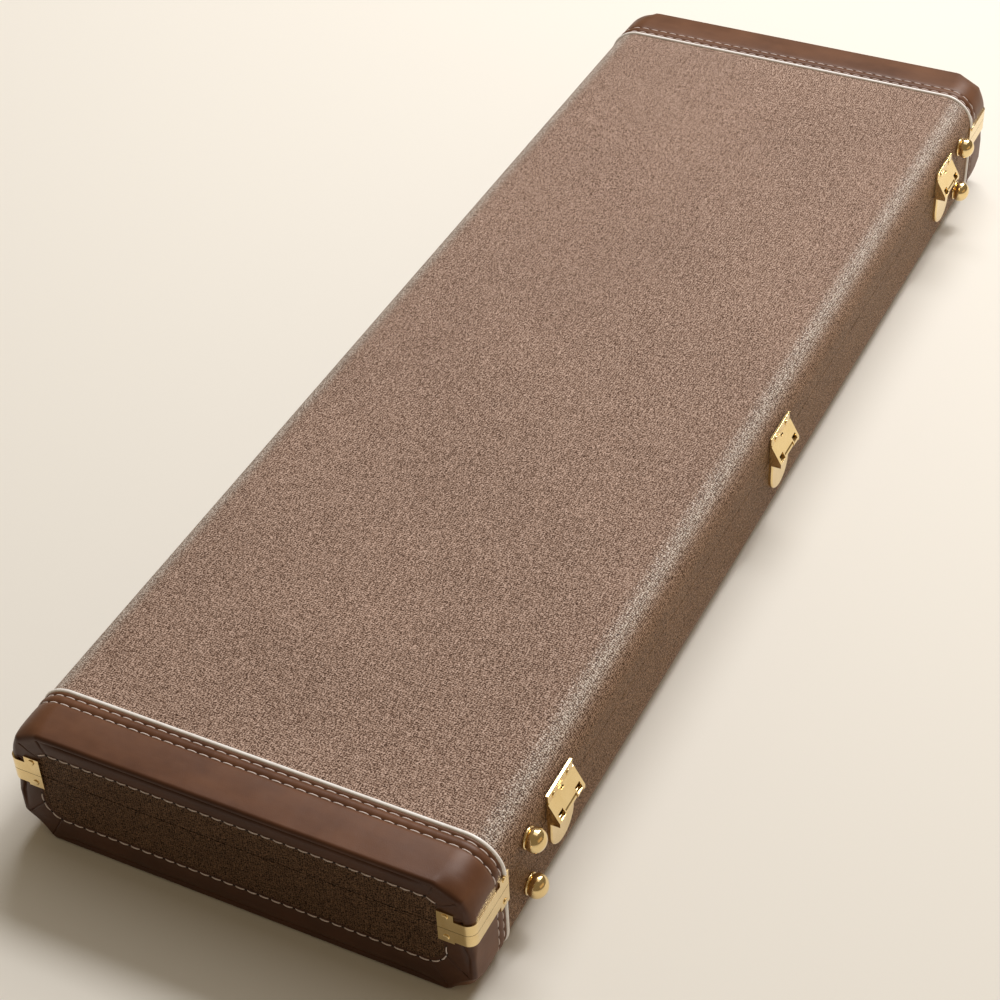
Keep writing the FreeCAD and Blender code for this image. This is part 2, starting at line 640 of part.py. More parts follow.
def lining():
    """Plush-covered foam that holds the guitar, and the padded lid."""
    end = INNER_END - LINING_END_GAP
    low = FLOOR_PAD_TOP + PAD_GAP
    save("floor_pad", box(-end, end, -FLOOR_PAD_HALF, FLOOR_PAD_HALF, INNER + PAD_GAP, FLOOR_PAD_TOP))
    bulge, bulge_x = BODY_END_BULGE
    end_pad = block(BODY_END_PAD, end, -END_PAD_HALF, END_PAD_HALF)
    save("body_end_pad", end_pad.cut(column(bulge, bulge_x, 0, 0, HEIGHT)))
    radius = (WAIST_HALF_CHORD ** 2 + WAIST_DEPTH ** 2) / (2 * WAIST_DEPTH)
    waist = column(radius, WAIST_STATION, LINING_HALF - WAIST_DEPTH + radius, low, BLOCK_TOP)
    waist = softened(waist.common(box(0, END, 0, LINING_HALF, 0, HEIGHT)))
    save("waist_pad_back", waist)
    save("waist_pad_front", mirrored_y(waist))
    front = block(HEAD_START + 3, BODY_START, -LINING_HALF, -CHANNEL_HALF)
    save("front_block", softened(shoulder(front, BODY_START, -CHANNEL_HALF)))
    back = block(0.0, BODY_START, CHANNEL_HALF, LINING_HALF)
    save("shoulder_block", softened(shoulder(back, BODY_START, CHANNEL_HALF)))
    head = softened(block(-end, HEAD_START, HEAD_HALF, LINING_HALF))
    save("head_blocks", head, mirrored_y(head))
    seat, seat_z = CRADLE_CURVE
    cradle = block(*CRADLE, PAD_GAP - CHANNEL_HALF, CHANNEL_HALF - PAD_GAP, CRADLE_TOP)
    save("neck_cradle", cradle.cut(rod_x(seat, -END, END, 0, seat_z)))
    x, y = LID_PAD_HALF
    pad = box(-x, x, -y, y, LID_PAD_BOTTOM, HEIGHT - INNER - PAD_GAP)
    lower = [edge for edge in pad.Edges if edge.BoundBox.ZMax < LID_PAD_BOTTOM + 0.1]
    save("lid_pad", pad.makeFillet(LID_PAD_ROUND, lower))


def compartment():
    """Accessory box beside the neck, with a padded flap and a pull tab."""
    x0, x1 = COMPARTMENT
    wall = COMPARTMENT_WALL
    tray = block(x0, x1, CHANNEL_HALF, LINING_HALF, COMPARTMENT_TOP)
    hollow = box(x0 + wall, x1 - wall, CHANNEL_HALF + wall, LINING_HALF - wall,
                 FLOOR_PAD_TOP + wall, COMPARTMENT_TOP + 1)
    save("compartment_box", tray.cut(hollow))
    pivot_y, pivot_z = FLAP_PIVOT
    thick = pivot_z - COMPARTMENT_TOP - FLAP_GAP
    left, right, free = x0 + FLAP_INSET, x1 - FLAP_INSET, CHANNEL_HALF + FLAP_INSET
    flap = box(left, right, free, pivot_y, pivot_z - thick, pivot_z + thick)
    free_edge = [edge for edge in flap.Edges if edge.BoundBox.YMax < free + 0.1 and edge.Length > 50]
    flap = flap.makeFillet(FLAP_ROUND, free_edge).fuse(rod_x(thick, left, right, pivot_y, pivot_z))
    save("compartment_flap", flap.removeSplitter())
    middle = (x0 + x1) / 2
    save("flap_tab", box(middle - TAB_HALF, middle + TAB_HALF, CHANNEL_HALF - TAB_REACH[0],
                         CHANNEL_HALF + TAB_REACH[1], pivot_z + TAB_FACES[0], pivot_z + TAB_FACES[1]))


def main():
    os.makedirs("parts", exist_ok=True)
    plywood()
    covering()
    leather_ends()
    rim_strip()
    hinges()
    ball_feet()
    corner_clamps()
    latches()
    handle()
    rivets()
    lining()
    compartment()


main()
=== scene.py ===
"""Looks of the guitar case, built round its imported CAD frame.

Metres, apart from the tables and numbers that are marked mm.
"""
import json
import math

import bmesh
import bpy
import numpy as np
from mathutils import Euler, Matrix, Vector, noise


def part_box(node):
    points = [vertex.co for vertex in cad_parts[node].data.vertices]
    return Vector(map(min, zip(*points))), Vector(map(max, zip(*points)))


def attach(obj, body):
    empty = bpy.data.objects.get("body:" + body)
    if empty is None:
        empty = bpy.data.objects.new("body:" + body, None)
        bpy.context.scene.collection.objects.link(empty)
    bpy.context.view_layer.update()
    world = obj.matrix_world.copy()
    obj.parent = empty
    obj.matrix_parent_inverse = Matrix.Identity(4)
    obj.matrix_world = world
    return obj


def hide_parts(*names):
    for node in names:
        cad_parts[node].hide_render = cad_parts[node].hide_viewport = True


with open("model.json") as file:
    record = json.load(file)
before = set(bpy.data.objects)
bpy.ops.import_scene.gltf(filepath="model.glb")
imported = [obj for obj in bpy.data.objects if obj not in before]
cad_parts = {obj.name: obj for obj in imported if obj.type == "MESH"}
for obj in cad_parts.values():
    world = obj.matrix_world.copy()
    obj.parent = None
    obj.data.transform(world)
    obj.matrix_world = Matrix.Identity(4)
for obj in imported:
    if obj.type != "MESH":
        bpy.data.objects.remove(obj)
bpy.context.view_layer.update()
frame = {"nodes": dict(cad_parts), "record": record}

MM = 0.001

# Places and sizes read from the frame
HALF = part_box("lid_cover")[1].y
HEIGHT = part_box("lid_cover")[1].z
SKIN_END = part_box("lid_cover")[1].x
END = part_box("lid_near_cap")[1].x
CAP_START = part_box("lid_near_cap")[0].x
LID_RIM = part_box("lid_near_cap")[0].z
BASE_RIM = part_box("base_near_cap")[1].z
TOP_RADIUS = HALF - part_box("lid_top_panel")[1].y
BOTTOM_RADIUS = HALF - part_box("base_bottom_panel")[1].y
WINDOW_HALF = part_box("lid_end_covers")[1].y
WINDOW_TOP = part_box("lid_end_covers")[1].z
WINDOW_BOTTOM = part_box("base_end_covers")[0].z
CLAMP_TAB_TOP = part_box("lid_corners_near")[1].z - 2 * MM  # of the side tabs; the end tabs reach higher
CLAMP_BAND_TOP = CLAMP_TAB_TOP - 4 * MM
CLAMP_TAB_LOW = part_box("base_corners_near")[0].z
CLAMP_BAND_LOW = CLAMP_TAB_LOW + 5 * MM
FLOOR_GAP = 0.3 * MM

# Covering cloth
CLOTH_THICKNESS = 0.9 * MM
SPLIT = 0.35 * MM  # between each end window's cloth and its rim
WINDOW_SUNK = 0.6 * MM  # the end window's cloth behind the end face
WINDOW_THICKNESS = 0.5 * MM
WINDOW_CHAMFER = {True: 11 * MM, False: 13 * MM}  # of the window's corners, on the lid and on the base
RIM_FOLD = 0.95 * MM  # cloth turned over the plywood's rim

# Leather end wraps
END_ROUND = 6.0 * MM  # under the corner clamps
TIGHT_ROUND = 3.0 * MM  # where the leather is pulled over the edge
LEATHER_THICKNESS = 1.0 * MM
PIPING_RADIUS = 1.6 * MM
PIPING_SIDES = 12
STITCH_ROWS = (4.5 * MM, 11.7 * MM)  # from the piping
STITCH_PITCH = 9.3 * MM
STITCH_LENGTH = 7.6 * MM
BORDER_MARGIN = 1.8 * MM  # leather beyond the border's stitches

# Ball feet, mm
FOOT_COLLAR = ((8.0, 0.0), (8.3, 0.5), (8.3, 1.5), (7.8, 2.1), (6.6, 2.4), (6.4, 2.7))  # radius, height
FOOT_HEAD_RADIUS = 8.9
FOOT_HEAD_TALL = 7.8  # the head's middle to its top
FOOT_HEAD_BELOW = 8.0  # the head's middle below the foot's full reach

# The Mix node's colour sockets
MIX_A, MIX_B, MIX_RESULT = 6, 7, 2


# ---- materials

class Shader:
    """A Principled material and short calls for adding nodes to it."""

    def __init__(self, name, base, roughness, **sockets):
        self.material = bpy.data.materials.new(name)
        self.material.use_nodes = True
        self.tree = self.material.node_tree
        self.bsdf = self.tree.nodes["Principled BSDF"]
        self.bsdf.inputs["Base Color"].default_value = (*base, 1)
        self.bsdf.inputs["Roughness"].default_value = roughness
        for socket, value in sockets.items():
            self.bsdf.inputs[socket.replace("_", " ")].default_value = value
        self.material.diffuse_color = (*base, 1)

    def node(self, kind, **settings):
        made = self.tree.nodes.new("ShaderNode" + kind)
        for key, value in settings.items():
            setattr(made, key, value)
        return made

    def link(self, output, socket):
        self.tree.links.new(output, socket)

    def coordinates(self, scale=(1, 1, 1)):
        place = self.node("TexCoord")
        mapping = self.node("Mapping")
        mapping.inputs["Scale"].default_value = scale
        self.link(place.outputs["Object"], mapping.inputs["Vector"])
        return mapping.outputs["Vector"]

    def noise(self, vector, scale, detail=2.0, roughness=0.5, output="Fac"):
        made = self.node("TexNoise")
        made.inputs["Scale"].default_value = scale
        made.inputs["Detail"].default_value = detail
        made.inputs["Roughness"].default_value = roughness
        self.link(vector, made.inputs["Vector"])
        return made.outputs[output]

    def math(self, operation, a, b=0.0):
        made = self.node("Math", operation=operation)
        for value, socket in ((a, made.inputs[0]), (b, made.inputs[1])):
            if isinstance(value, bpy.types.NodeSocket):
                self.link(value, socket)
            else:
                socket.default_value = value
        return made.outputs[0]

    def ramp(self, value, *stops):
        made = self.node("ValToRGB")
        elements = made.color_ramp.elements
        while len(elements) < len(stops):
            elements.new(0.5)
        for element, (position, colour) in zip(elements, stops):
            element.position = position
            element.color = (*colour, 1)
        self.link(value, made.inputs["Fac"])
        return made.outputs["Color"]

    def spread(self, value, low, high, start=0.0, stop=1.0):
        made = self.node("MapRange")
        made.inputs["From Min"].default_value = start
        made.inputs["From Max"].default_value = stop
        made.inputs["To Min"].default_value = low
        made.inputs["To Max"].default_value = high
        self.link(value, made.inputs["Value"])
        return made.outputs["Result"]

    def mix(self, factor, a, b, blend="MIX"):
        made = self.node("Mix", data_type="RGBA", blend_type=blend)
        for value, socket in ((factor, made.inputs["Factor"]), (a, made.inputs[MIX_A]),
                              (b, made.inputs[MIX_B])):
            if isinstance(value, bpy.types.NodeSocket):
                self.link(value, socket)
            elif isinstance(value, tuple):
                socket.default_value = (*value, 1)
            else:
                socket.default_value = value
        return made.outputs[MIX_RESULT]

    def bump(self, height, distance, strength=1.0, after=None):
        made = self.node("Bump")
        made.inputs["Distance"].default_value = distance
        made.inputs["Strength"].default_value = strength
        self.link(height, made.inputs["Height"])
        if after is not None:
            self.link(after, made.inputs["Normal"])
        return made.outputs["Normal"]

    def colour(self, output):
        self.link(output, self.bsdf.inputs["Base Color"])

    def rough(self, output):
        self.link(output, self.bsdf.inputs["Roughness"])

    def normal(self, output):
        self.link(output, self.bsdf.inputs["Normal"])


SIDE_SHADE_TINT = (0.64, 0.53, 0.37)  # multiplies the cloth's colour on the sides: painted shade, for the sides that face away from the lights
PAINTED_HIGHLIGHT_THREAD = (0.88, 0.82, 0.74)  # painted highlight: pale thread colour mixed in along the rounded edges, where the lights reflect
THREAD_SCALE = 1400.0  # of the noise that the threads come from


def woven_cloth(name, tones):
    """Coated cloth woven from short worm-like threads that lie two ways, with dark gaps.

    The weave attribute places it; the wear attribute says how rubbed, glossy and painted with a highlight (X)
    and how darkened by painted side shade (Y) it is.
    """
    s = Shader(name, tones[1], 0.42, Specular_IOR_Level=0.06)
    place = s.node("Attribute", attribute_name="weave")
    wear = s.node("Attribute", attribute_name="wear")
    rub_highlight_and_shade = s.node("SeparateXYZ")
    s.link(wear.outputs["Vector"], rub_highlight_and_shade.inputs[0])

    def stretched(x, y):
        mapping = s.node("Mapping")
        mapping.inputs["Scale"].default_value = (x, y, 0.0)
        s.link(place.outputs["Vector"], mapping.inputs["Vector"])
        return mapping.outputs["Vector"]

    even = stretched(1.0, 1.0)
    one_way = s.noise(stretched(0.45, 1.0), THREAD_SCALE, 1.0, 0.4, "Color")
    other_way = s.noise(stretched(1.0, 0.45), THREAD_SCALE, 1.0, 0.4, "Color")
    turn = s.noise(even, 430.0, 0.0)
    choice = s.math("GREATER_THAN", turn, 0.5)
    threads = s.mix(choice, one_way, other_way)
    grey = s.node("RGBToBW")
    s.link(threads, grey.inputs[0])
    wander = s.noise(even, 260.0, 2.0)
    lanes = []
    for axis in ("X", "Y"):
        bands = s.node("TexWave", bands_direction=axis)
        bands.inputs["Scale"].default_value = 165.0
        bands.inputs["Distortion"].default_value = 8.0
        bands.inputs["Detail Scale"].default_value = 2.2
        s.link(even, bands.inputs["Vector"])
        lanes.append(bands.outputs["Fac"])
    lattice = s.math("MULTIPLY", s.math("ADD", *lanes), 0.5)
    height = s.math("ADD", s.math("MULTIPLY", grey.outputs[0], 0.72),
                    s.math("MULTIPLY", lattice, 0.28))
    patchy = s.math("ADD", height, s.math("MULTIPLY", wander, 0.03))
    contrast = s.spread(patchy, 0.0, 1.0, 0.37, 0.65)
    woven = s.ramp(contrast, (0.0, tones[0]), (0.45, tones[1]), (1.0, tones[2]))
    cloudy = s.noise(even, 7.0, 3.0)
    broad = s.ramp(cloudy, (0.3, (0.94, 0.94, 0.94)), (0.7, (1.05, 1.05, 1.05)))
    clouded = s.mix(1.0, woven, broad, "MULTIPLY")
    # Painted shade: the sides and the corners towards them multiplied darker and warmer.
    side_shaded = s.mix(rub_highlight_and_shade.outputs["Y"], clouded, s.mix(1.0, clouded, SIDE_SHADE_TINT, "MULTIPLY"))
    # Painted highlight: along the rounded edges the thread tops are lightened towards a pale colour; the
    # gloss there is raised too.
    tops = s.math("MULTIPLY", rub_highlight_and_shade.outputs["X"], s.spread(contrast, -0.7, 1.0))
    s.colour(s.mix(tops, side_shaded, PAINTED_HIGHLIGHT_THREAD))
    s.rough(s.spread(contrast, 0.55, 0.25))
    s.link(s.spread(rub_highlight_and_shade.outputs["X"], 0.06, 0.7), s.bsdf.inputs["Specular IOR Level"])
    s.normal(s.bump(contrast, 0.0006, 1.0))
    return s.material


def leather(name, dark, light, end_shade_tint=None):
    """Smooth hide; the end tint darkens what is folded over the end faces, as painted shade where they turn
    away from the lights.
    """
    roughness = 0.42
    s = Shader(name, light, roughness, Specular_IOR_Level=0.3)
    position = s.coordinates()
    patches = s.noise(position, 14.0, 4.0, 0.6)
    streaks = s.noise(s.coordinates((1.0, 0.35, 1.0)), 60.0, 3.0, 0.55)
    tone = s.math("ADD", s.math("MULTIPLY", patches, 0.6), s.math("MULTIPLY", streaks, 0.4))
    hide = s.ramp(tone, (0.32, dark), (0.68, light))
    if end_shade_tint is not None:
        along = s.node("SeparateXYZ")
        s.link(position, along.inputs[0])
        distance = s.math("ABSOLUTE", along.outputs["X"])
        # Painted shade: the leather on the end faces multiplied darker.
        folded = s.spread(distance, 0.0, 1.0, END - 3.5 * MM, END - 1.0 * MM)
        hide = s.mix(folded, hide, s.mix(1.0, hide, end_shade_tint, "MULTIPLY"))
    s.colour(hide)
    grain = s.node("TexVoronoi", feature="DISTANCE_TO_EDGE")
    grain.inputs["Scale"].default_value = 900.0
    s.link(position, grain.inputs["Vector"])
    pores = s.noise(position, 1500.0, 2.0)
    s.rough(s.spread(patches, roughness - 0.06, roughness + 0.1))
    soft = s.bump(patches, 0.0012, 0.5)
    creased = s.bump(grain.outputs["Distance"], 0.00012, 0.5, soft)
    s.normal(s.bump(pores, 0.00008, 0.5, creased))
    return s.material


def gilt():
    s = Shader("gilt_metal", (0.83, 0.63, 0.31), 0.16, Metallic=1.0)
    position = s.coordinates()
    haze = s.noise(position, 90.0, 3.0, 0.6)
    scuff = s.noise(s.coordinates((1.0, 1.0, 0.2)), 1400.0, 2.0)
    s.colour(s.ramp(haze, (0.3, (0.80, 0.60, 0.29)), (0.7, (0.88, 0.69, 0.37))))
    s.rough(s.spread(haze, 0.1, 0.24))
    s.normal(s.bump(scuff, 0.00002, 0.35, s.bump(haze, 0.0004, 0.25)))
    return s.material


def vinyl_bead():
    s = Shader("piping_vinyl", (0.93, 0.9, 0.87), 0.34, Coat_Weight=0.3, Coat_Roughness=0.2)
    marks = s.noise(s.coordinates(), 120.0, 3.0)
    s.colour(s.ramp(marks, (0.3, (0.88, 0.84, 0.8)), (0.65, (0.96, 0.94, 0.92))))
    s.normal(s.bump(marks, 0.0003, 0.3))
    return s.material


def thread():
    s = Shader("stitch_thread", (0.78, 0.66, 0.62), 0.55, Sheen_Weight=0.3)
    ply = s.noise(s.coordinates(), 2600.0, 1.0)
    s.colour(s.ramp(ply, (0.3, (0.6, 0.48, 0.45)), (0.65, (0.88, 0.79, 0.75))))
    s.normal(s.bump(ply, 0.0001, 0.6))
    return s.material


# Near-black colour of the needle holes: painted shade inside them.
def needle_hole_shade():
    s = Shader("needle_hole_shade", (0.012, 0.006, 0.004), 0.8)
    marks = s.noise(s.coordinates(), 2000.0)
    s.colour(s.ramp(marks, (0.3, (0.008, 0.004, 0.003)), (0.7, (0.02, 0.01, 0.007))))
    return s.material


def plush(name, dark, light):
    """Short-pile lining: soft clumps, a fine nap and a sheen."""
    s = Shader(name, light, 0.9, Sheen_Weight=0.7, Sheen_Roughness=0.4)
    s.bsdf.inputs["Sheen Tint"].default_value = (1.0, 0.72, 0.42, 1)
    brushed = s.noise(s.coordinates((1.0, 2.2, 1.0)), 22.0, 4.0, 0.62)
    nap = s.noise(s.coordinates(), 1300.0, 3.0, 0.7)
    tone = s.math("ADD", s.math("MULTIPLY", brushed, 0.65), s.math("MULTIPLY", nap, 0.35))
    s.colour(s.ramp(tone, (0.36, dark), (0.64, light)))
    s.normal(s.bump(nap, 0.0009, 0.8, s.bump(brushed, 0.0015, 0.4)))
    return s.material


def plywood():
    """Pale veneer with its grain along the case."""
    s = Shader("birch_ply", (0.62, 0.46, 0.29), 0.62)
    grain = s.noise(s.coordinates((4.0, 60.0, 60.0)), 6.0, 5.0, 0.6)
    s.colour(s.ramp(grain, (0.3, (0.42, 0.28, 0.15)), (0.7, (0.68, 0.51, 0.33))))
    s.normal(s.bump(grain, 0.0004, 0.4))
    return s.material


def pale_floor():
    return Shader("pale_floor", (0.82, 0.797, 0.737), 0.7, Specular_IOR_Level=0.05).material


# Gaps, threads and thread tops
CLOTH_TONES = ((0.062, 0.03, 0.018), (0.335, 0.22, 0.164), (0.64, 0.472, 0.388))
# The end windows' cloth: the same cloth with its tones darkened as painted shade, for the end faces that turn
# away from the lights.
END_SHADE_TONES = ((0.01, 0.004, 0.002), (0.085, 0.045, 0.023), (0.22, 0.13, 0.077))
MATERIALS = {
    "cloth": woven_cloth("coated_cloth", CLOTH_TONES),
    "end_cloth_shaded": woven_cloth("end_cloth_shaded", END_SHADE_TONES),
    "leather_cap": leather("cap_leather", (0.085, 0.032, 0.014), (0.17, 0.072, 0.033),
                           end_shade_tint=(0.52, 0.44, 0.38)),
    "grip_leather": leather("grip_leather", (0.06, 0.025, 0.015), (0.12, 0.052, 0.03)),
    "gilt": gilt(),
    "piping": vinyl_bead(),
    "thread": thread(),
    "hole": needle_hole_shade(),
    "plush": plush("lining_plush", (0.29, 0.12, 0.034), (0.38, 0.17, 0.052)),
    "lining_board": plush("board_plush", (0.24, 0.1, 0.028), (0.32, 0.14, 0.042)),
    "ply": plywood(),
}


# ---- mesh helpers

def new_object(name, vertices, faces, material):
    mesh = bpy.data.meshes.new(name)
    mesh.from_pydata([tuple(v) for v in vertices], [], [tuple(f) for f in faces])
    mesh.validate()
    mesh.shade_smooth()
    mesh.materials.append(MATERIALS[material])
    made = bpy.data.objects.new(name, mesh)
    bpy.context.collection.objects.link(made)
    return made


def grid_faces(rows, columns, wrap=False, start=0):
    """Quads of a rows by columns grid; wrap closes it along the columns."""
    last = columns if wrap else columns - 1
    return [(start + i * columns + j, start + i * columns + (j + 1) % columns,
             start + (i + 1) * columns + (j + 1) % columns, start + (i + 1) * columns + j)
            for i in range(rows - 1) for j in range(last)]


def slab_faces(rows, columns):
    """Faces of a closed slab: a grid, the same grid behind it, and the edge between them."""
    size = rows * columns
    faces = grid_faces(rows, columns)
    faces += [tuple(reversed(f)) for f in grid_faces(rows, columns, start=size)]
    edge = list(range(columns)) + [i * columns + columns - 1 for i in range(1, rows)]
    edge += [(rows - 1) * columns + j for j in range(columns - 2, -1, -1)]
    edge += [i * columns for i in range(rows - 2, 0, -1)]
    return faces + [(a, b, size + b, size + a) for a, b in zip(edge, edge[1:] + edge[:1])]


def outward(obj):
    """Make the normals of a closed piece face out."""
    work = bmesh.new()
    work.from_mesh(obj.data)
    bmesh.ops.recalc_face_normals(work, faces=work.faces)
    work.to_mesh(obj.data)
    work.free()
    return obj


def crisp(obj, angle):
    """Smooth shading with sharp edges over the angle."""
    obj.data.shade_smooth()
    obj.data.set_sharp_from_angle(angle=math.radians(angle))


def modifier(obj, kind, **settings):
    made = obj.modifiers.new(kind.lower(), kind)
    for key, value in settings.items():
        setattr(made, key, value)
    return made


def soft_edges(obj, width, angle):
    """Bevel the edges that are sharper than the angle."""
    modifier(obj, "BEVEL", width=width, segments=2, limit_method="ANGLE", angle_limit=math.radians(angle))


def apply_modifiers(obj):
    shown = bpy.context.evaluated_depsgraph_get()
    mesh = bpy.data.meshes.new_from_object(obj.evaluated_get(shown))
    obj.modifiers.clear()
    obj.data = mesh


def weave(obj, places, wear=None):
    """Where each point lies on the flat cloth; the second layer is how rubbed and painted with a highlight it
    is, and how darkened by painted side shade.
    """
    layers = {"weave": places}
    if wear is not None:
        layers["wear"] = wear
    for name, pairs in layers.items():
        layer = obj.data.attributes.new(name, "FLOAT_VECTOR", "POINT")
        values = np.zeros((len(obj.data.vertices), 3))
        values[:, :2] = np.asarray(pairs)
        layer.data.foreach_set("vector", values.ravel())


def facing_out(obj):
    """Turn an open sheet's faces away from the middle of the case."""
    middle = Vector((0, 0, HEIGHT / 2))
    total = 0.0
    for polygon in obj.data.polygons:
        away = polygon.center - middle
        total += polygon.area * (1 if polygon.normal.dot(away) > 0 else -1)
    if total < 0:
        obj.data.flip_normals()


class Outline:
    """Half of the case's cross-section, from the rim at +Y round to the rim at -Y.

    Rows: place (y, z), outward normal, the section's part (0 side, 1 corner, 2 flat, 3 corner,
    4 side) and share, 0 to 1, how far along its part: from the rim on, or from +Y on the flat.
    """

    def __init__(self, lid, side_steps, corner_steps, flat_steps, rims=None):
        self.lid = lid
        radius, level, up = (TOP_RADIUS, HEIGHT, 1) if lid else (BOTTOM_RADIUS, 0.0, -1)
        self.radius = radius
        rim = rims if rims is not None else (LID_RIM if lid else BASE_RIM)
        centre_y, centre_z = HALF - radius, level - up * radius
        rows = []
        for t in np.linspace(0, 1, side_steps, endpoint=False):
            rows.append(((HALF, rim + (centre_z - rim) * t), (1.0, 0.0), t, 0))
        for t in np.linspace(0, 1, corner_steps + 1):
            a = t * math.pi / 2
            place = (centre_y + radius * math.cos(a), centre_z + up * radius * math.sin(a))
            rows.append((place, (math.cos(a), up * math.sin(a)), t, 1))
        half = list(rows)
        for t in np.linspace(0, 1, flat_steps + 1)[1:-1]:
            rows.append(((centre_y * (1 - 2 * t), level), (0.0, up), t, 2))
        for (y, z), (out, rise), t, part in reversed(half):
            rows.append(((-y, z), (-out, rise), t, 4 - part))
        self.place, self.normal, self.share, self.part = (np.array(column) for column in zip(*rows))

    def length(self):
        """Distance round the outline to each row."""
        step = np.linalg.norm(np.diff(self.place, axis=0), axis=1)
        return np.concatenate([[0], np.cumsum(step)])


def mirrored(points, far):
    """Points of the near end, or the same points at the far end."""
    turned = np.array(points, float)
    if far:
        turned[..., 0] *= -1
    return turned


# ---- covering cloth

# A band round each corner: glossier, and painted with a highlight where the lights reflect.
RUB_AND_HIGHLIGHT_STRENGTH = 0.85
RUB_AND_HIGHLIGHT_MIDDLE = 0.64  # share of the way round a corner
RUB_AND_HIGHLIGHT_WIDTH = 0.16


def cloth_skin(name, lid, body, nodes):
    """Closed thin sheet bent round the long faces, glossier with a painted highlight along the corners and
    darkened by painted shade on the sides.
    """
    outline = Outline(lid, 5, 16, 40)
    outer = outline.place
    inner = outer - outline.normal * CLOTH_THICKNESS
    loop = np.vstack([outer, inner[::-1]])
    stations = np.linspace(-SKIN_END, SKIN_END, 61)
    points = np.array([[(x, y, z) for y, z in loop] for x in stations])
    count = len(loop)
    faces = grid_faces(len(stations), count, wrap=True)
    half = len(outer)
    for base in (0, (len(stations) - 1) * count):
        faces += [(base + k, base + k + 1, base + count - 2 - k, base + count - 1 - k)
                  for k in range(half - 1)]
    made = outward(new_object(name, points.reshape(-1, 3), faces, "cloth"))
    run = outline.length()
    run = np.concatenate([run, run[::-1]])
    corner = np.isin(outline.part, (1, 3))
    # Glossy band with a painted highlight, round each corner.
    rubbed_and_highlit = RUB_AND_HIGHLIGHT_STRENGTH * np.exp(-((outline.share - RUB_AND_HIGHLIGHT_MIDDLE) / RUB_AND_HIGHLIGHT_WIDTH) ** 2)
    rubbed_and_highlit = np.where(corner, rubbed_and_highlit, 0.0)
    # Painted shade: full on the sides, fading round the corners to none on the flats.
    side_shade = np.where(corner, 1 - outline.share, np.isin(outline.part, (0, 4)) * 1.0)
    wear = np.column_stack([rubbed_and_highlit, side_shade])
    wear = np.tile(np.vstack([wear, wear[::-1]]), (len(stations), 1))
    weave(made, [(x, along) for x in stations for along in run], wear)
    crisp(made, 40)
    soft_edges(made, 0.3 * MM, 50)
    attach(made, body)
    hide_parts(*nodes)


def window_path(outline, inset):
    """Where the border's inner edge is, for each row of an outline."""
    side, top, low = WINDOW_HALF - inset, WINDOW_TOP - inset, WINDOW_BOTTOM + inset
    chamfer = WINDOW_CHAMFER[outline.lid]
    level, up = (top, 1) if outline.lid else (low, -1)
    rim = LID_RIM if outline.lid else BASE_RIM
    path = []
    for (y, _), share, part in zip(outline.place, outline.share, outline.part):
        sign = 1 if y >= 0 else -1
        if part in (0, 4):
            path.append((sign * side, rim + (level - up * chamfer - rim) * share))
        elif part in (1, 3):
            bulge = math.sin(share * math.pi) * 0.12 * chamfer
            out = side - chamfer * share + bulge
            path.append((sign * out, level - up * (chamfer * (1 - share) - bulge)))
        else:
            path.append(((side - chamfer) * y / (HALF - outline.radius), level))
    return np.array(path)


def end_cloth(name, lid, far, body):
    """Flat cloth panel behind the leather border of an end face, split at the rim."""
    outline = Outline(lid, 3, 6, 24)
    rim = window_path(outline, -1.0 * MM)
    split = LID_RIM + SPLIT if lid else BASE_RIM - SPLIT
    rim[:, 1] = np.maximum(rim[:, 1], split) if lid else np.minimum(rim[:, 1], split)
    front = np.array([[(END - WINDOW_SUNK, y, split + (z - split) * (1 - t)) for y, z in rim]
                      for t in np.linspace(0, 1, 5)])
    back = front.copy()
    back[..., 0] -= WINDOW_THICKNESS
    points = np.vstack([front.reshape(-1, 3), back.reshape(-1, 3)])
    faces = slab_faces(len(front), len(rim))
    # Its material is the cloth darkened as painted shade.
    made = outward(new_object(name, mirrored(points, far), faces, "end_cloth_shaded"))
    cut_from = 0.7 if far else 0.3  # each end shows another stretch of the weave
    weave(made, points[:, 1:] + cut_from)
    crisp(made, 40)
    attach(made, body)


# ---- leather ends

# The wrap's profile from the piping to the end face: (distance from the piping, how far it is sunk) in mm.
BAND = ((0.5, 0.7), (1.0, 0.0), (1.7, -0.55), (2.6, -0.8), (3.5, -0.5), (4.1, 0.05), (4.5, 0.3), (4.9, 0.0),
        (5.6, -0.55), (6.8, -1.0), (8.1, -1.15), (9.4, -1.0), (10.6, -0.55), (11.3, 0.05), (11.7, 0.35),
        (12.2, 0.0), (13.2, -0.4), (15.5, -0.65), (20.0, -0.75), (27.0, -0.7), (33.0, -0.5), (39.0, -0.05))
# Across the border of the end face: (share of its width, how far it stands out in mm).
BORDER = ((0.03, -0.4), (0.07, -1.3), (0.1, -1.5), (0.14, -0.9), (0.22, -0.1), (0.36, 0.2), (0.55, 0.2),
          (0.75, 0.05), (0.86, -0.2), (0.9, -0.35), (0.95, -0.2), (1.0, -0.5))
# Where the folds are, as a share of the way round a corner, on the lid and on the base.
CREASES = {True: (0.0, 0.45, 1.0), False: (0.04, 0.92)}
FACET_STARTS = (30.0, 38.0, 43.0)  # from the piping, mm
FACET_SHARES = (0.0, 0.13, 0.85)  # how flat a corner is there
CORNER_DRAW = {True: 1.5 * MM, False: 3.0 * MM}  # how far a corner is pulled in at the end face
DRAW_START = 38.5  # from the piping, mm
DRAW_LENGTH = 6.0  # mm
CLAMP_FADE = 9 * MM  # the leather is pressed flat at a clamp and free this far from it
# Rings of the plywood end: (distance from the end face, how far it lies inside the outline) in mm.
PLATE_RINGS = ((6.9, 1.15), (4.6, 1.3), (2.6, 2.6))
PLATE_CLEAR = 1.2 * MM  # of the floor


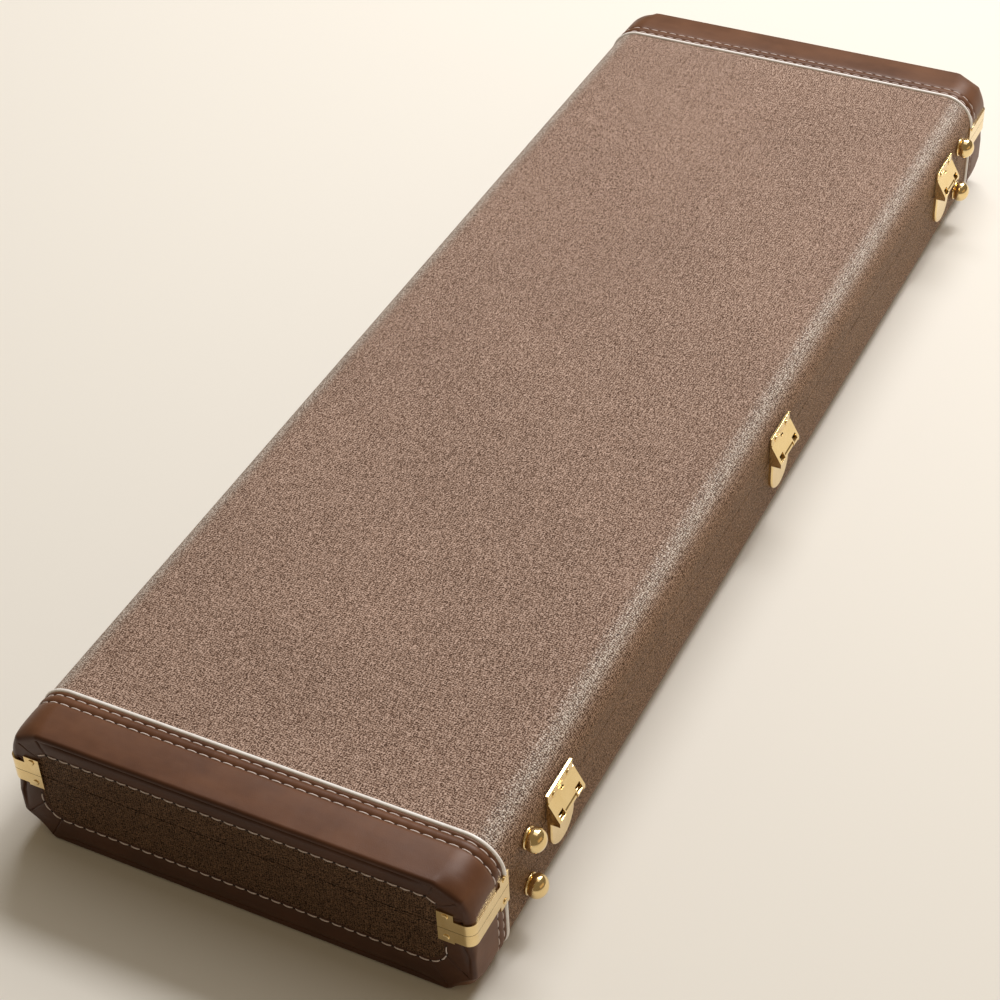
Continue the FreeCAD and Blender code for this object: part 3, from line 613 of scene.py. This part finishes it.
def faceted(outline):
    """The outline with its corners folded into flats, and where the folds are."""
    chord = outline.place.copy()
    crease = np.zeros(len(chord))
    for part in (1, 3):
        rows = np.flatnonzero(outline.part == part)
        stops = sorted({0.0, 1.0, *CREASES[outline.lid]})
        ends = [rows[int(np.argmin(abs(outline.share[rows] - stop)))] for stop in stops]
        for start, stop, first, last in zip(stops, stops[1:], ends, ends[1:]):
            inside = rows[(outline.share[rows] >= start) & (outline.share[rows] <= stop)]
            t = ((outline.share[inside] - start) / (stop - start))[:, None]
            chord[inside] = outline.place[first] * (1 - t) + outline.place[last] * t
        for stop in CREASES[outline.lid]:
            crease[rows[int(np.argmin(abs(outline.share[rows] - stop)))]] = 1.0
    return chord, crease


def folded_ring(outline, chord, x, sink):
    """Outline at x: the corners turn into flats and draw in towards the end face."""
    from_band = (x - CAP_START) / MM
    facet = np.interp(from_band, FACET_STARTS, FACET_SHARES)
    corner = np.isin(outline.part, (1, 3))
    draw = np.where(corner, np.sin(outline.share * math.pi) ** 0.7, 0.0)
    draw = draw * CORNER_DRAW[outline.lid] * np.clip((from_band - DRAW_START) / DRAW_LENGTH, 0, 1)
    place = outline.place * (1 - facet)[:, None] + chord * facet[:, None]
    return place - outline.normal * (sink + draw)[:, None]


def end_plate(name, lid, far, body, node):
    """Plywood end, cut a little smaller so that the folded leather lies over it."""
    rim = LID_RIM + MM if lid else BASE_RIM - MM
    outline = Outline(lid, 6, 20, 24, rims=rim)
    chord, _ = faceted(outline)
    count = len(outline.place)
    rings = []
    for distance, sink in PLATE_RINGS:
        x = END - distance * MM
        place = folded_ring(outline, chord, np.full(count, x), np.full(count, sink * MM))
        if not lid:
            place[:, 1] = np.maximum(place[:, 1], PLATE_CLEAR)
        rings.append(np.column_stack([np.full(count, x), place]))
    faces = tube_faces(len(rings), count)
    made = outward(new_object(name, mirrored(np.array(rings).reshape(-1, 3), far), faces, "ply"))
    crisp(made, 30)
    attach(made, body)
    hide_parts(node)


def leather_wrap(name, lid, far, body, node):
    """Hide wrapped round one end and folded over its face, up to the window; returns its outline."""
    outline = Outline(lid, 16, 40, 110)
    edge_path = window_path(outline, BORDER_MARGIN)
    count = len(outline.place)
    corner = np.flatnonzero(np.isin(outline.part, (1, 3)))
    flatness = np.array([min(1.0, abs(corner - k).min() / 6) for k in range(count)])
    chord, crease = faceted(outline)
    height = outline.place[:, 1]
    away = np.maximum(CLAMP_TAB_LOW - height, height - CLAMP_TAB_TOP) / CLAMP_FADE
    free = np.clip(away, 0.0, 1.0)
    rows = []

    def lay(x, sink):
        """One ring of the wrap; the corner clamps press it flat."""
        x = np.zeros(count) + x
        sink = np.where(sink < 0, sink * free, sink) + np.zeros(count)
        rows.append(np.column_stack([x, folded_ring(outline, chord, x, sink)]))

    for distance, sink in BAND:
        x = CAP_START + distance * MM
        wave = np.array([noise.noise(Vector((x * 40, y * 30, z * 30 + 5))) for y, z in outline.place])
        pucker = np.cos(outline.length() / STITCH_PITCH * 2 * math.pi) * 0.08 * MM
        near_rows = math.exp(-((distance - 8.1) / 5.0) ** 2)
        lay(x, sink * MM + wave * 0.22 * MM * (distance > 12) * free + pucker * near_rows)
    steps = 7
    turn = END_ROUND + (TIGHT_ROUND - END_ROUND) * free
    for k in range(steps + 1):
        a = k / steps * math.pi / 2
        sink = turn * (1 - math.cos(a)) + crease * 0.7 * MM * math.sin(a)
        lay(END - turn + turn * math.sin(a), sink)
    outer = rows[-1][:, 1:].copy()
    for share, stand in BORDER:
        place = outer * (1 - share) + edge_path * share
        groove = np.where(share < 0.2, flatness, 1.0)
        wave = np.array([noise.noise(Vector((y * 60, z * 60, 2.0))) for y, z in place]) * 0.2 * MM
        fold = crease * 0.9 * MM * (1 - share * 0.6)
        ripple = (max(stand, 0.0) * free + min(stand, 0.0)) * MM * groove + wave * (share < 0.85) * free
        rows.append(np.column_stack([END + ripple - fold, place]))
    points = np.array(rows)
    if not lid:
        points[..., 2] = np.maximum(points[..., 2], FLOOR_GAP)
    faces = grid_faces(len(rows), count)
    made = new_object(name, mirrored(points.reshape(-1, 3), far), faces, "leather_cap")
    facing_out(made)
    modifier(made, "SOLIDIFY", thickness=LEATHER_THICKNESS, offset=-1.0, use_even_offset=False)
    apply_modifiers(made)
    crisp(outward(made), 60)
    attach(made, body)
    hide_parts(node)
    return outline


def tube(path, normals, radius, sides):
    """Rings round a path of 3-D points; normals point away from the case."""
    path, normals = np.asarray(path, float), np.asarray(normals, float)
    tangent = np.gradient(path, axis=0)
    tangent /= np.linalg.norm(tangent, axis=1)[:, None]
    across = np.cross(tangent, normals)
    across /= np.linalg.norm(across, axis=1)[:, None]
    angle = np.linspace(0, 2 * math.pi, sides, endpoint=False)
    cos, sin = np.cos(angle)[:, None], np.sin(angle)[:, None]
    return np.array([centre + reach * (cos * normal + sin * side) for centre, reach, normal, side
                     in zip(path, np.broadcast_to(radius, len(path)), normals, across)])


def tube_faces(rings, sides, start=0):
    """Faces of a tube of rings, closed at both ends."""
    faces = grid_faces(rings, sides, wrap=True, start=start)
    faces.append(tuple(start + k for k in reversed(range(sides))))
    faces.append(tuple(start + (rings - 1) * sides + k for k in range(sides)))
    return faces


def piping(name, lid, body, node):
    """Round bead where the leather meets the cloth, at both ends of the case."""
    points, faces = [], []
    rim = CLAMP_TAB_TOP - 1 * MM if lid else CLAMP_TAB_LOW + 1 * MM
    outline = Outline(lid, 6, 20, 60, rims=rim)
    for far in (False, True):
        centre = outline.place + outline.normal * 0.1 * MM
        line = np.column_stack([np.full(len(centre), CAP_START), centre])
        normals = np.column_stack([np.zeros(len(centre)), outline.normal])
        rings = tube(line, normals, PIPING_RADIUS, PIPING_SIDES)
        rings[..., 2] = np.maximum(rings[..., 2], FLOOR_GAP)
        faces += tube_faces(len(rings), PIPING_SIDES, start=sum(len(p) for p in points))
        points.append(mirrored(rings.reshape(-1, 3), far))
    made = outward(new_object(name, np.vstack(points), faces, "piping"))
    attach(made, body)
    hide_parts(node)


class Stitches:
    """Collects stitches along lines and makes one piece of them."""

    SIDES = 8
    RINGS = 7
    HOLE_SIDES = 8
    HOLE_RADIUS = 0.62 * MM

    def __init__(self):
        self.points = []
        self.faces = []
        self.holes = []
        self.count = 0

    def add(self, points, faces, hole=False):
        if hole:
            self.holes += list(range(len(self.faces), len(self.faces) + len(faces)))
        self.faces += [tuple(self.count + k for k in f) for f in faces]
        self.points.append(points)
        self.count += len(points)

    def row(self, line, normals, keep):
        """Stitches along a line, where keep(point) is true for the middle of the stitch."""
        line, normals = np.asarray(line), np.asarray(normals)
        length = np.concatenate([[0], np.cumsum(np.linalg.norm(np.diff(line, axis=0), axis=1))])
        number = int(length[-1] / STITCH_PITCH)
        margin = (length[-1] - number * STITCH_PITCH) / 2

        def at(s):
            place = np.array([np.interp(s, length, line[:, k]) for k in range(3)])
            normal = np.array([np.interp(s, length, normals[:, k]) for k in range(3)])
            return place, normal / np.linalg.norm(normal)

        for k in range(number):
            start = margin + k * STITCH_PITCH + (STITCH_PITCH - STITCH_LENGTH) / 2
            if not keep(at(start + STITCH_LENGTH / 2)[0]):
                continue
            path, away, radius = [], [], []
            for t in np.linspace(0, 1, self.RINGS):
                place, normal = at(start + t * STITCH_LENGTH)
                lift = (0.62 * math.sin(math.pi * t) ** 0.6 - 0.25) * MM
                path.append(place + normal * lift)
                away.append(normal)
                radius.append((0.34 + 0.14 * math.sin(math.pi * t)) * MM)
            rings = tube(path, away, np.array(radius), self.SIDES)
            self.add(rings.reshape(-1, 3), tube_faces(self.RINGS, self.SIDES))
            for t in (-0.04, 1.04):
                place, normal = at(start + t * STITCH_LENGTH)
                self.add(*self.hole(place + normal * 0.12 * MM, normal), hole=True)

    def hole(self, place, normal):
        """A small dimple where the thread goes in, coloured near black as painted shade."""
        normal = Vector(normal)
        side = normal.orthogonal().normalized()
        other = normal.cross(side)
        count = self.HOLE_SIDES
        angle = np.linspace(0, 2 * math.pi, count, endpoint=False)
        rim = [Vector(place) + (side * math.cos(a) + other * math.sin(a)) * self.HOLE_RADIUS for a in angle]
        low = [p - normal * 0.5 * MM for p in rim]
        top = [Vector(place) + normal * 0.06 * MM, Vector(place) - normal * 0.55 * MM]
        points = np.array([tuple(p) for p in rim + low + top])
        faces = [(k, (k + 1) % count, 2 * count) for k in range(count)]
        faces += [(count + (k + 1) % count, count + k, 2 * count + 1) for k in range(count)]
        faces += [(count + k, count + (k + 1) % count, (k + 1) % count, k) for k in range(count)]
        return points, faces

    def finish(self, name, body):
        made = new_object(name, np.vstack(self.points), self.faces, "thread")
        made.data.materials.append(MATERIALS["hole"])
        for k in self.holes:
            made.data.polygons[k].material_index = 1
        outward(made)
        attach(made, body)


def stitch_lines(stitches, outline, border, far):
    """The two rows on the band and the row on the border of an end face."""
    flat = np.column_stack([np.zeros(len(outline.normal)), outline.normal])
    for k, distance in enumerate(STITCH_ROWS):
        low = (CLAMP_TAB_LOW, CLAMP_BAND_LOW)[k] - 1 * MM
        high = (CLAMP_TAB_TOP, CLAMP_BAND_TOP)[k] + 1 * MM
        line = np.column_stack([np.full(len(outline.place), CAP_START + distance), outline.place])
        line[:, 1:] -= outline.normal * 0.25 * MM

        def clear(p, low=low, high=high):
            return p[2] > 1 * MM and not low < p[2] < high

        stitches.row(mirrored(line, far), mirrored(flat, far), clear)
    line = np.column_stack([np.full(len(border), END - 0.1 * MM), border])
    face = np.tile([1.0, 0.0, 0.0], (len(border), 1))
    stitches.row(mirrored(line, far), mirrored(face, far),
                 lambda p: not CLAMP_TAB_LOW < p[2] < CLAMP_TAB_TOP + 4 * MM)


def leather_ends():
    for lid, body in ((True, "lid"), (False, "base")):
        stitches = Stitches()
        for far, side in ((False, "near"), (True, "far")):
            outline = leather_wrap(f"{body}_{side}_leather", lid, far, body, f"{body}_{side}_cap")
            stitch_lines(stitches, outline, window_path(outline, 0.0), far)
            end_cloth(f"{body}_{side}_end_cloth", lid, far, body)
            end_plate(f"{body}_{side}_plate", lid, far, body, f"{body}_{side}_end")
        stitches.finish(body + "_stitches", body)
        piping(body + "_bead", lid, body, body + "_piping")
    for body in ("lid", "base"):
        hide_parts(body + "_end_covers")


def rim_fold(name, body, z0, z1):
    """Cloth turned over the plywood's rim: a flat ring with rounded corners."""
    lip_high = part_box("base_lip")[1]
    outer = (END - 1.2 * MM, HALF - 1.0 * MM, 5 * MM)
    inner = (lip_high.x + 0.3 * MM, lip_high.y + 0.3 * MM, 0.5 * MM)

    def loop(half_x, half_y, radius):
        points = []
        for quarter in range(4):
            centre_x = (half_x - radius) * (1, -1, -1, 1)[quarter]
            centre_y = (half_y - radius) * (1, 1, -1, -1)[quarter]
            for t in np.linspace(0, 1, 7):
                a = (quarter + t) * math.pi / 2
                points.append((centre_x + radius * math.cos(a), centre_y + radius * math.sin(a)))
        return points

    rings = []
    for edge, z in ((outer, z0), (outer, z1), (inner, z1), (inner, z0)):
        rings.append([(x, y, z) for x, y in loop(*edge)])
    count = len(rings[0])
    faces = grid_faces(4, count, wrap=True)
    faces += [(3 * count + j, 3 * count + (j + 1) % count, (j + 1) % count, j) for j in range(count)]
    points = np.array(rings).reshape(-1, 3)
    made = outward(new_object(name, points, faces, "cloth"))
    weave(made, points[:, :2])
    crisp(made, 40)
    soft_edges(made, 0.3 * MM, 50)
    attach(made, body)


# ---- hardware

def lathe(profile, sides=48):
    """Closed solid of revolution about +Y; the profile is (radius, height) from the wall out."""
    angle = np.linspace(0, 2 * math.pi, sides, endpoint=False)
    rings = [[(r * math.cos(a), h, r * math.sin(a)) for a in angle] for r, h in profile]
    return np.array(rings).reshape(-1, 3), tube_faces(len(profile), sides)


def ball_foot_profile(reach):
    """Collar with a bead, a neck, and a domed head, as (radius, height) from the wall out."""
    dome = []
    centre = reach / MM - FOOT_HEAD_BELOW
    for a in np.radians(np.linspace(-22, 90, 17)):
        dome.append((max(FOOT_HEAD_RADIUS * math.cos(a), 0.15), centre + FOOT_HEAD_TALL * math.sin(a)))
    return [(r * MM, h * MM) for r, h in (*FOOT_COLLAR, *dome)]


def ball_feet(body):
    low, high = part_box(body + "_ball_feet")
    points, faces = [], []
    shape, quads = lathe(ball_foot_profile(high.y - low.y))
    height = (low.z + high.z) / 2
    station = high.x - (high.z - low.z) / 2
    for k, x in enumerate((-station, station)):
        points.append(shape + np.array([x, low.y, height]))
        faces += [tuple(v + k * len(shape) for v in f) for f in quads]
    made = outward(new_object(body + "_feet", np.vstack(points), faces, "gilt"))
    crisp(made, 50)
    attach(made, body)
    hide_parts(body + "_ball_feet")


def dress(name, material, bevel):
    """Give a CAD node its material, soft edges (bevel in mm) and clean shading."""
    obj = frame["nodes"][name]
    obj.data.materials.clear()
    obj.data.materials.append(MATERIALS[material])
    if bevel:
        soft_edges(obj, bevel * MM, 40)
    crisp(obj, 35)


def grip():
    """Stuffed leather handle with a seam of stitches along both edges."""
    low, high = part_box("handle_grip")
    middle, half = (low + high) / 2, (high - low) / 2
    sides = 40
    rings, angle = [], np.linspace(0, 2 * math.pi, sides, endpoint=False)
    straight = 0.9  # of the half length; the rest is rounded off
    stations = np.concatenate([np.linspace(-1, -straight, 8)[:-1], np.linspace(-straight, straight, 40),
                               np.linspace(straight, 1, 8)[1:]])
    for t in stations:
        end = max(0.0, (abs(t) - straight) / (1 - straight))
        size = 0.55 + 0.45 * math.sqrt(max(0.0, 1 - end * end))
        belly = 0.86 + 0.14 * (1 - t * t)
        y = np.sign(np.cos(angle)) * abs(np.cos(angle)) ** 0.7 * half.y * belly * size
        z = np.sign(np.sin(angle)) * abs(np.sin(angle)) ** 0.6 * half.z * (0.94 + 0.06 * (1 - t * t)) * size
        rings.append(np.column_stack([np.full(sides, t * half.x), y, z]))
    points = np.array(rings).reshape(-1, 3) + np.array(middle)
    made = outward(new_object("grip", points, tube_faces(len(rings), sides), "grip_leather"))
    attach(made, "handle")
    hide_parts("handle_grip")
    stitches = Stitches()
    run = np.linspace(-straight, straight, 60)
    for face in (-1, 1):
        for edge in (-1, 1):
            y = face * half.y * (0.86 + 0.14 * (1 - run * run)) * 0.865
            z = np.full(len(run), edge * half.z * 0.7)
            line = np.column_stack([run * half.x, y, z]) + np.array(middle)
            away = np.tile([0.0, face * 0.85, edge * 0.5], (len(run), 1))
            stitches.row(line, away, lambda place: True)
    stitches.finish("grip_stitches", "handle")


# ---- lining

# Stuffed blocks: body they ride, voxel (mm), how far a point may swell (mm), how full
PADS = {
    "lid_pad": ("lid", 8.0, 5.0, 0.7),
    "front_block": ("base", 6.0, 3.6, 0.8),
    "shoulder_block": ("base", 5.0, 3.4, 0.8),
    "head_blocks": ("base", 6.0, 3.4, 0.8),
    "waist_pad_front": ("base", 5.0, 3.4, 0.8),
    "waist_pad_back": ("base", 5.0, 3.4, 0.8),
    "body_end_pad": ("base", 5.0, 3.4, 0.8),
    "neck_cradle": ("base", 4.0, 2.4, 0.9),
}
PAD_SHRINK = 2.2 * MM
SWELL_FRAMES = 14


def vertex_array(mesh):
    flat = np.empty(len(mesh.vertices) * 3)
    mesh.vertices.foreach_get("co", flat)
    return flat.reshape(-1, 3)


def stuffed(node, voxel):
    """Remeshed copy of a foam block, drawn in by the cover's shrink."""
    source = frame["nodes"][node]
    made = bpy.data.objects.new(node + "_soft", source.data.copy())
    bpy.context.collection.objects.link(made)
    made.matrix_world = source.matrix_world.copy()
    made.data.transform(made.matrix_world)
    made.matrix_world = Matrix.Identity(4)
    modifier(made, "REMESH", mode="VOXEL", voxel_size=voxel * MM)
    apply_modifiers(made)
    modifier(made, "SMOOTH", factor=0.5, iterations=2)
    apply_modifiers(made)
    normals = np.empty(len(made.data.vertices) * 3)
    made.data.vertices.foreach_get("normal", normals)
    points = vertex_array(made.data) - normals.reshape(-1, 3) * PAD_SHRINK
    made.data.vertices.foreach_set("co", points.ravel())
    made.data.materials.clear()
    made.data.materials.append(MATERIALS["plush"])
    made.data.shade_smooth()
    return made


def swell(pads):
    """Blow the covers up from inside, all at once, with their resting faces held."""
    scene = bpy.context.scene
    for made, (body, _, _, _) in pads:
        points = vertex_array(made.data)
        low, high = points[:, 2].min(), points[:, 2].max()
        resting = points[:, 2] > high - 3 * MM if body == "lid" else points[:, 2] < low + 3 * MM
        group = made.vertex_groups.new(name="resting")
        group.add([int(k) for k in np.flatnonzero(resting)], 1.0, "REPLACE")
        cloth = made.modifiers.new("cloth", "CLOTH")
        settings = cloth.settings
        settings.quality = 4
        settings.use_pressure = True
        settings.uniform_pressure_force = 4.0
        settings.effector_weights.gravity = 0.0
        settings.vertex_group_mass = "resting"
        cloth.point_cache.frame_start = 1
        cloth.point_cache.frame_end = SWELL_FRAMES
    for number in range(1, SWELL_FRAMES + 1):
        scene.frame_set(number)
    shown = bpy.context.evaluated_depsgraph_get()
    swollen = [vertex_array(made.evaluated_get(shown).data) for made, _ in pads]
    for (made, (_, _, cap, _)), after in zip(pads, swollen):
        before = vertex_array(made.data)
        made.modifiers.clear()
        made.vertex_groups.clear()
        move = after - before
        reach = np.linalg.norm(move, axis=1)
        move *= np.minimum(1.0, cap * MM / np.maximum(reach, 1e-9))[:, None]
        made.data.vertices.foreach_set("co", (before + move).ravel())
        made.data.update()
    scene.frame_set(1)


def slab_pad(name, node, body, columns, rows, channels=0):
    """Thin quilted pad: a closed slab, crowned between its edges and its sewn channels."""
    low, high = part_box(node)
    low, high = low + Vector((1, 1, 0.1)) * MM, high - Vector((1, 1, 0.1)) * MM
    u, v = np.linspace(0, 1, columns), np.linspace(0, 1, rows)
    x, y = np.meshgrid(low.x + (high.x - low.x) * u, low.y + (high.y - low.y) * v, indexing="ij")
    rim = np.minimum(np.minimum(x - low.x, high.x - x), np.minimum(y - low.y, high.y - y)) / (9 * MM)
    edge = np.sqrt(1 - (1 - np.clip(rim, 0, 1)) ** 2)
    quilt = np.ones_like(x)
    if channels:
        lane = np.abs(np.sin(u * math.pi * channels))[:, None]
        quilt = 1 - 0.4 * np.exp(-(lane / 0.09) ** 2)
    middle = (low.z + high.z) / 2
    tall = (high.z - low.z) / 2
    top = middle + tall * (0.1 + 0.9 * edge * quilt)
    bottom = middle - tall * (0.1 + 0.9 * edge)
    points = np.concatenate([np.stack([x, y, z], -1).reshape(-1, 3) for z in (top, bottom)])
    made = outward(new_object(name, points, slab_faces(columns, rows), "plush"))
    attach(made, body)
    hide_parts(node)


def inner_lining(name, lid, body, rim, depth, whole):
    """Plush glued to the inner faces of the plywood: all round if whole, else the sides and corners."""
    outline = Outline(lid, 4, 10, 20, rims=rim)
    places = outline.place - outline.normal * depth
    stations = np.linspace(-END + 7.5 * MM, END - 7.5 * MM, 30)
    keep = np.arange(len(places)) if whole else np.flatnonzero(outline.part < 2)
    strips = [keep] if whole else [keep, len(places) - 1 - keep[::-1]]
    points, faces = [], []
    for strip in strips:
        start = sum(len(p) for p in points)
        grid = np.array([[(x, *places[k]) for k in strip] for x in stations])
        points.append(grid.reshape(-1, 3))
        faces += grid_faces(len(stations), len(strip), start=start)
        if whole:
            last = start + (len(stations) - 1) * len(strip)
            faces += [tuple(start + k for k in range(len(strip))), tuple(last + k for k in range(len(strip)))]
    made = new_object(name, np.vstack(points), faces, "plush")
    modifier(made, "SOLIDIFY", thickness=0.25 * MM, offset=0.0)
    apply_modifiers(made)
    crisp(outward(made), 40)
    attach(made, body)


def lining():
    pads = [(stuffed(node, facts[1]), facts) for node, facts in PADS.items()]
    swell(pads)
    for (made, (body, _, _, fill)), node in zip(pads, PADS):
        modifier(made, "SUBSURF", levels=1, render_levels=1)
        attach(made, body)
        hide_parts(node)
    slab_pad("floor_pad_soft", "floor_pad", "base", 160, 50, channels=7)
    slab_pad("flap_soft", "compartment_flap", "flap", 60, 30)
    inner_lining("lid_lining", True, "lid", LID_RIM + 5.5 * MM, 7.35 * MM, True)
    inner_lining("base_lining", False, "base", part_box("base_lip")[0].z - 0.6 * MM, 7.3 * MM, False)


# ---- stage

CAMERA_PLACE = (1.3014, 0.6285, 1.2052)
CAMERA_TURN = (47.98568, 3.11261, 117.27447)  # degrees about X, Y and Z
CAMERA_LENS = 81.94  # mm
SENSOR_WIDTH = 36.0  # mm
CAMERA_SHIFT = (0.0531, 0.0456)


def plain_stage():
    bpy.ops.mesh.primitive_plane_add(size=14, location=(0, 0, 0))
    floor = bpy.context.object
    floor.name = "floor"
    floor.data.materials.append(pale_floor())


def area_light(name, place, target, size, power, colour):
    data = bpy.data.lights.new(name, "AREA")
    data.shape = "RECTANGLE"
    data.size, data.size_y = size
    data.energy = power
    data.color = colour
    lamp = bpy.data.objects.new(name, data)
    lamp.location = place
    lamp.rotation_euler = (Vector(target) - Vector(place)).to_track_quat("-Z", "Y").to_euler()
    bpy.context.collection.objects.link(lamp)


def lights():
    world = bpy.data.worlds.new("studio")
    bpy.context.scene.world = world
    world.use_nodes = True
    background = world.node_tree.nodes["Background"]
    background.inputs["Color"].default_value = (1.0, 0.8, 0.53, 1)
    background.inputs["Strength"].default_value = 0.22
    area_light("window", (-2.1, 0.1, 3.3), (0.0, 0.0, 0.0), (3.0, 0.8), 94.0, (1.0, 0.98, 0.985))
    area_light("overhead", (-0.9, 0.3, 3.2), (-0.9, 0.3, 0.0), (2.4, 2.4), 18.0, (1.0, 0.98, 0.975))
    area_light("key", (-3.0, 0.75, 2.9), (-0.1, 0.05, 0.0), (0.35, 2.4), 70.0, (1.0, 0.98, 0.96))
    area_light("warm_fill", (0.4, 2.8, 1.1), (0.0, 0.2, 0.0), (2.4, 1.0), 3.0, (1.0, 0.66, 0.34))
    bpy.context.scene.view_settings.view_transform = "Standard"


def camera():
    """Looks down over the near end's corner on the hinge side."""
    data = bpy.data.cameras.new("camera")
    data.sensor_width = SENSOR_WIDTH
    data.lens = CAMERA_LENS
    data.shift_x, data.shift_y = CAMERA_SHIFT
    cam = bpy.data.objects.new("camera", data)
    turn = Euler([math.radians(angle) for angle in CAMERA_TURN])
    cam.matrix_world = Matrix.LocRotScale(Vector(CAMERA_PLACE), turn, None)
    bpy.context.collection.objects.link(cam)
    bpy.context.scene.camera = cam


# ---- build

def dress_nodes():
    """Every CAD node gets the material of its slot."""
    slots = {entry["node"]: entry["material_slot"] for entry in frame["record"]["subparts"]}
    for name, slot in slots.items():
        bevel = {"gilt": 0.22, "ply": 0.0, "grip_leather": 0.6}.get(slot, 0.4)
        dress(name, slot, bevel)


def main():
    dress_nodes()
    cloth_skin("lid_skin", True, "lid", ["lid_cover"])
    cloth_skin("base_skin", False, "base", ["base_side_covers", "base_bottom_cover"])
    leather_ends()
    rim_fold("base_rim_fold", "base", BASE_RIM - RIM_FOLD, BASE_RIM)
    rim_fold("lid_rim_fold", "lid", LID_RIM, LID_RIM + RIM_FOLD)
    for body in ("lid", "base"):
        ball_feet(body)
    grip()
    lining()
    plain_stage()
    lights()
    camera()


main()
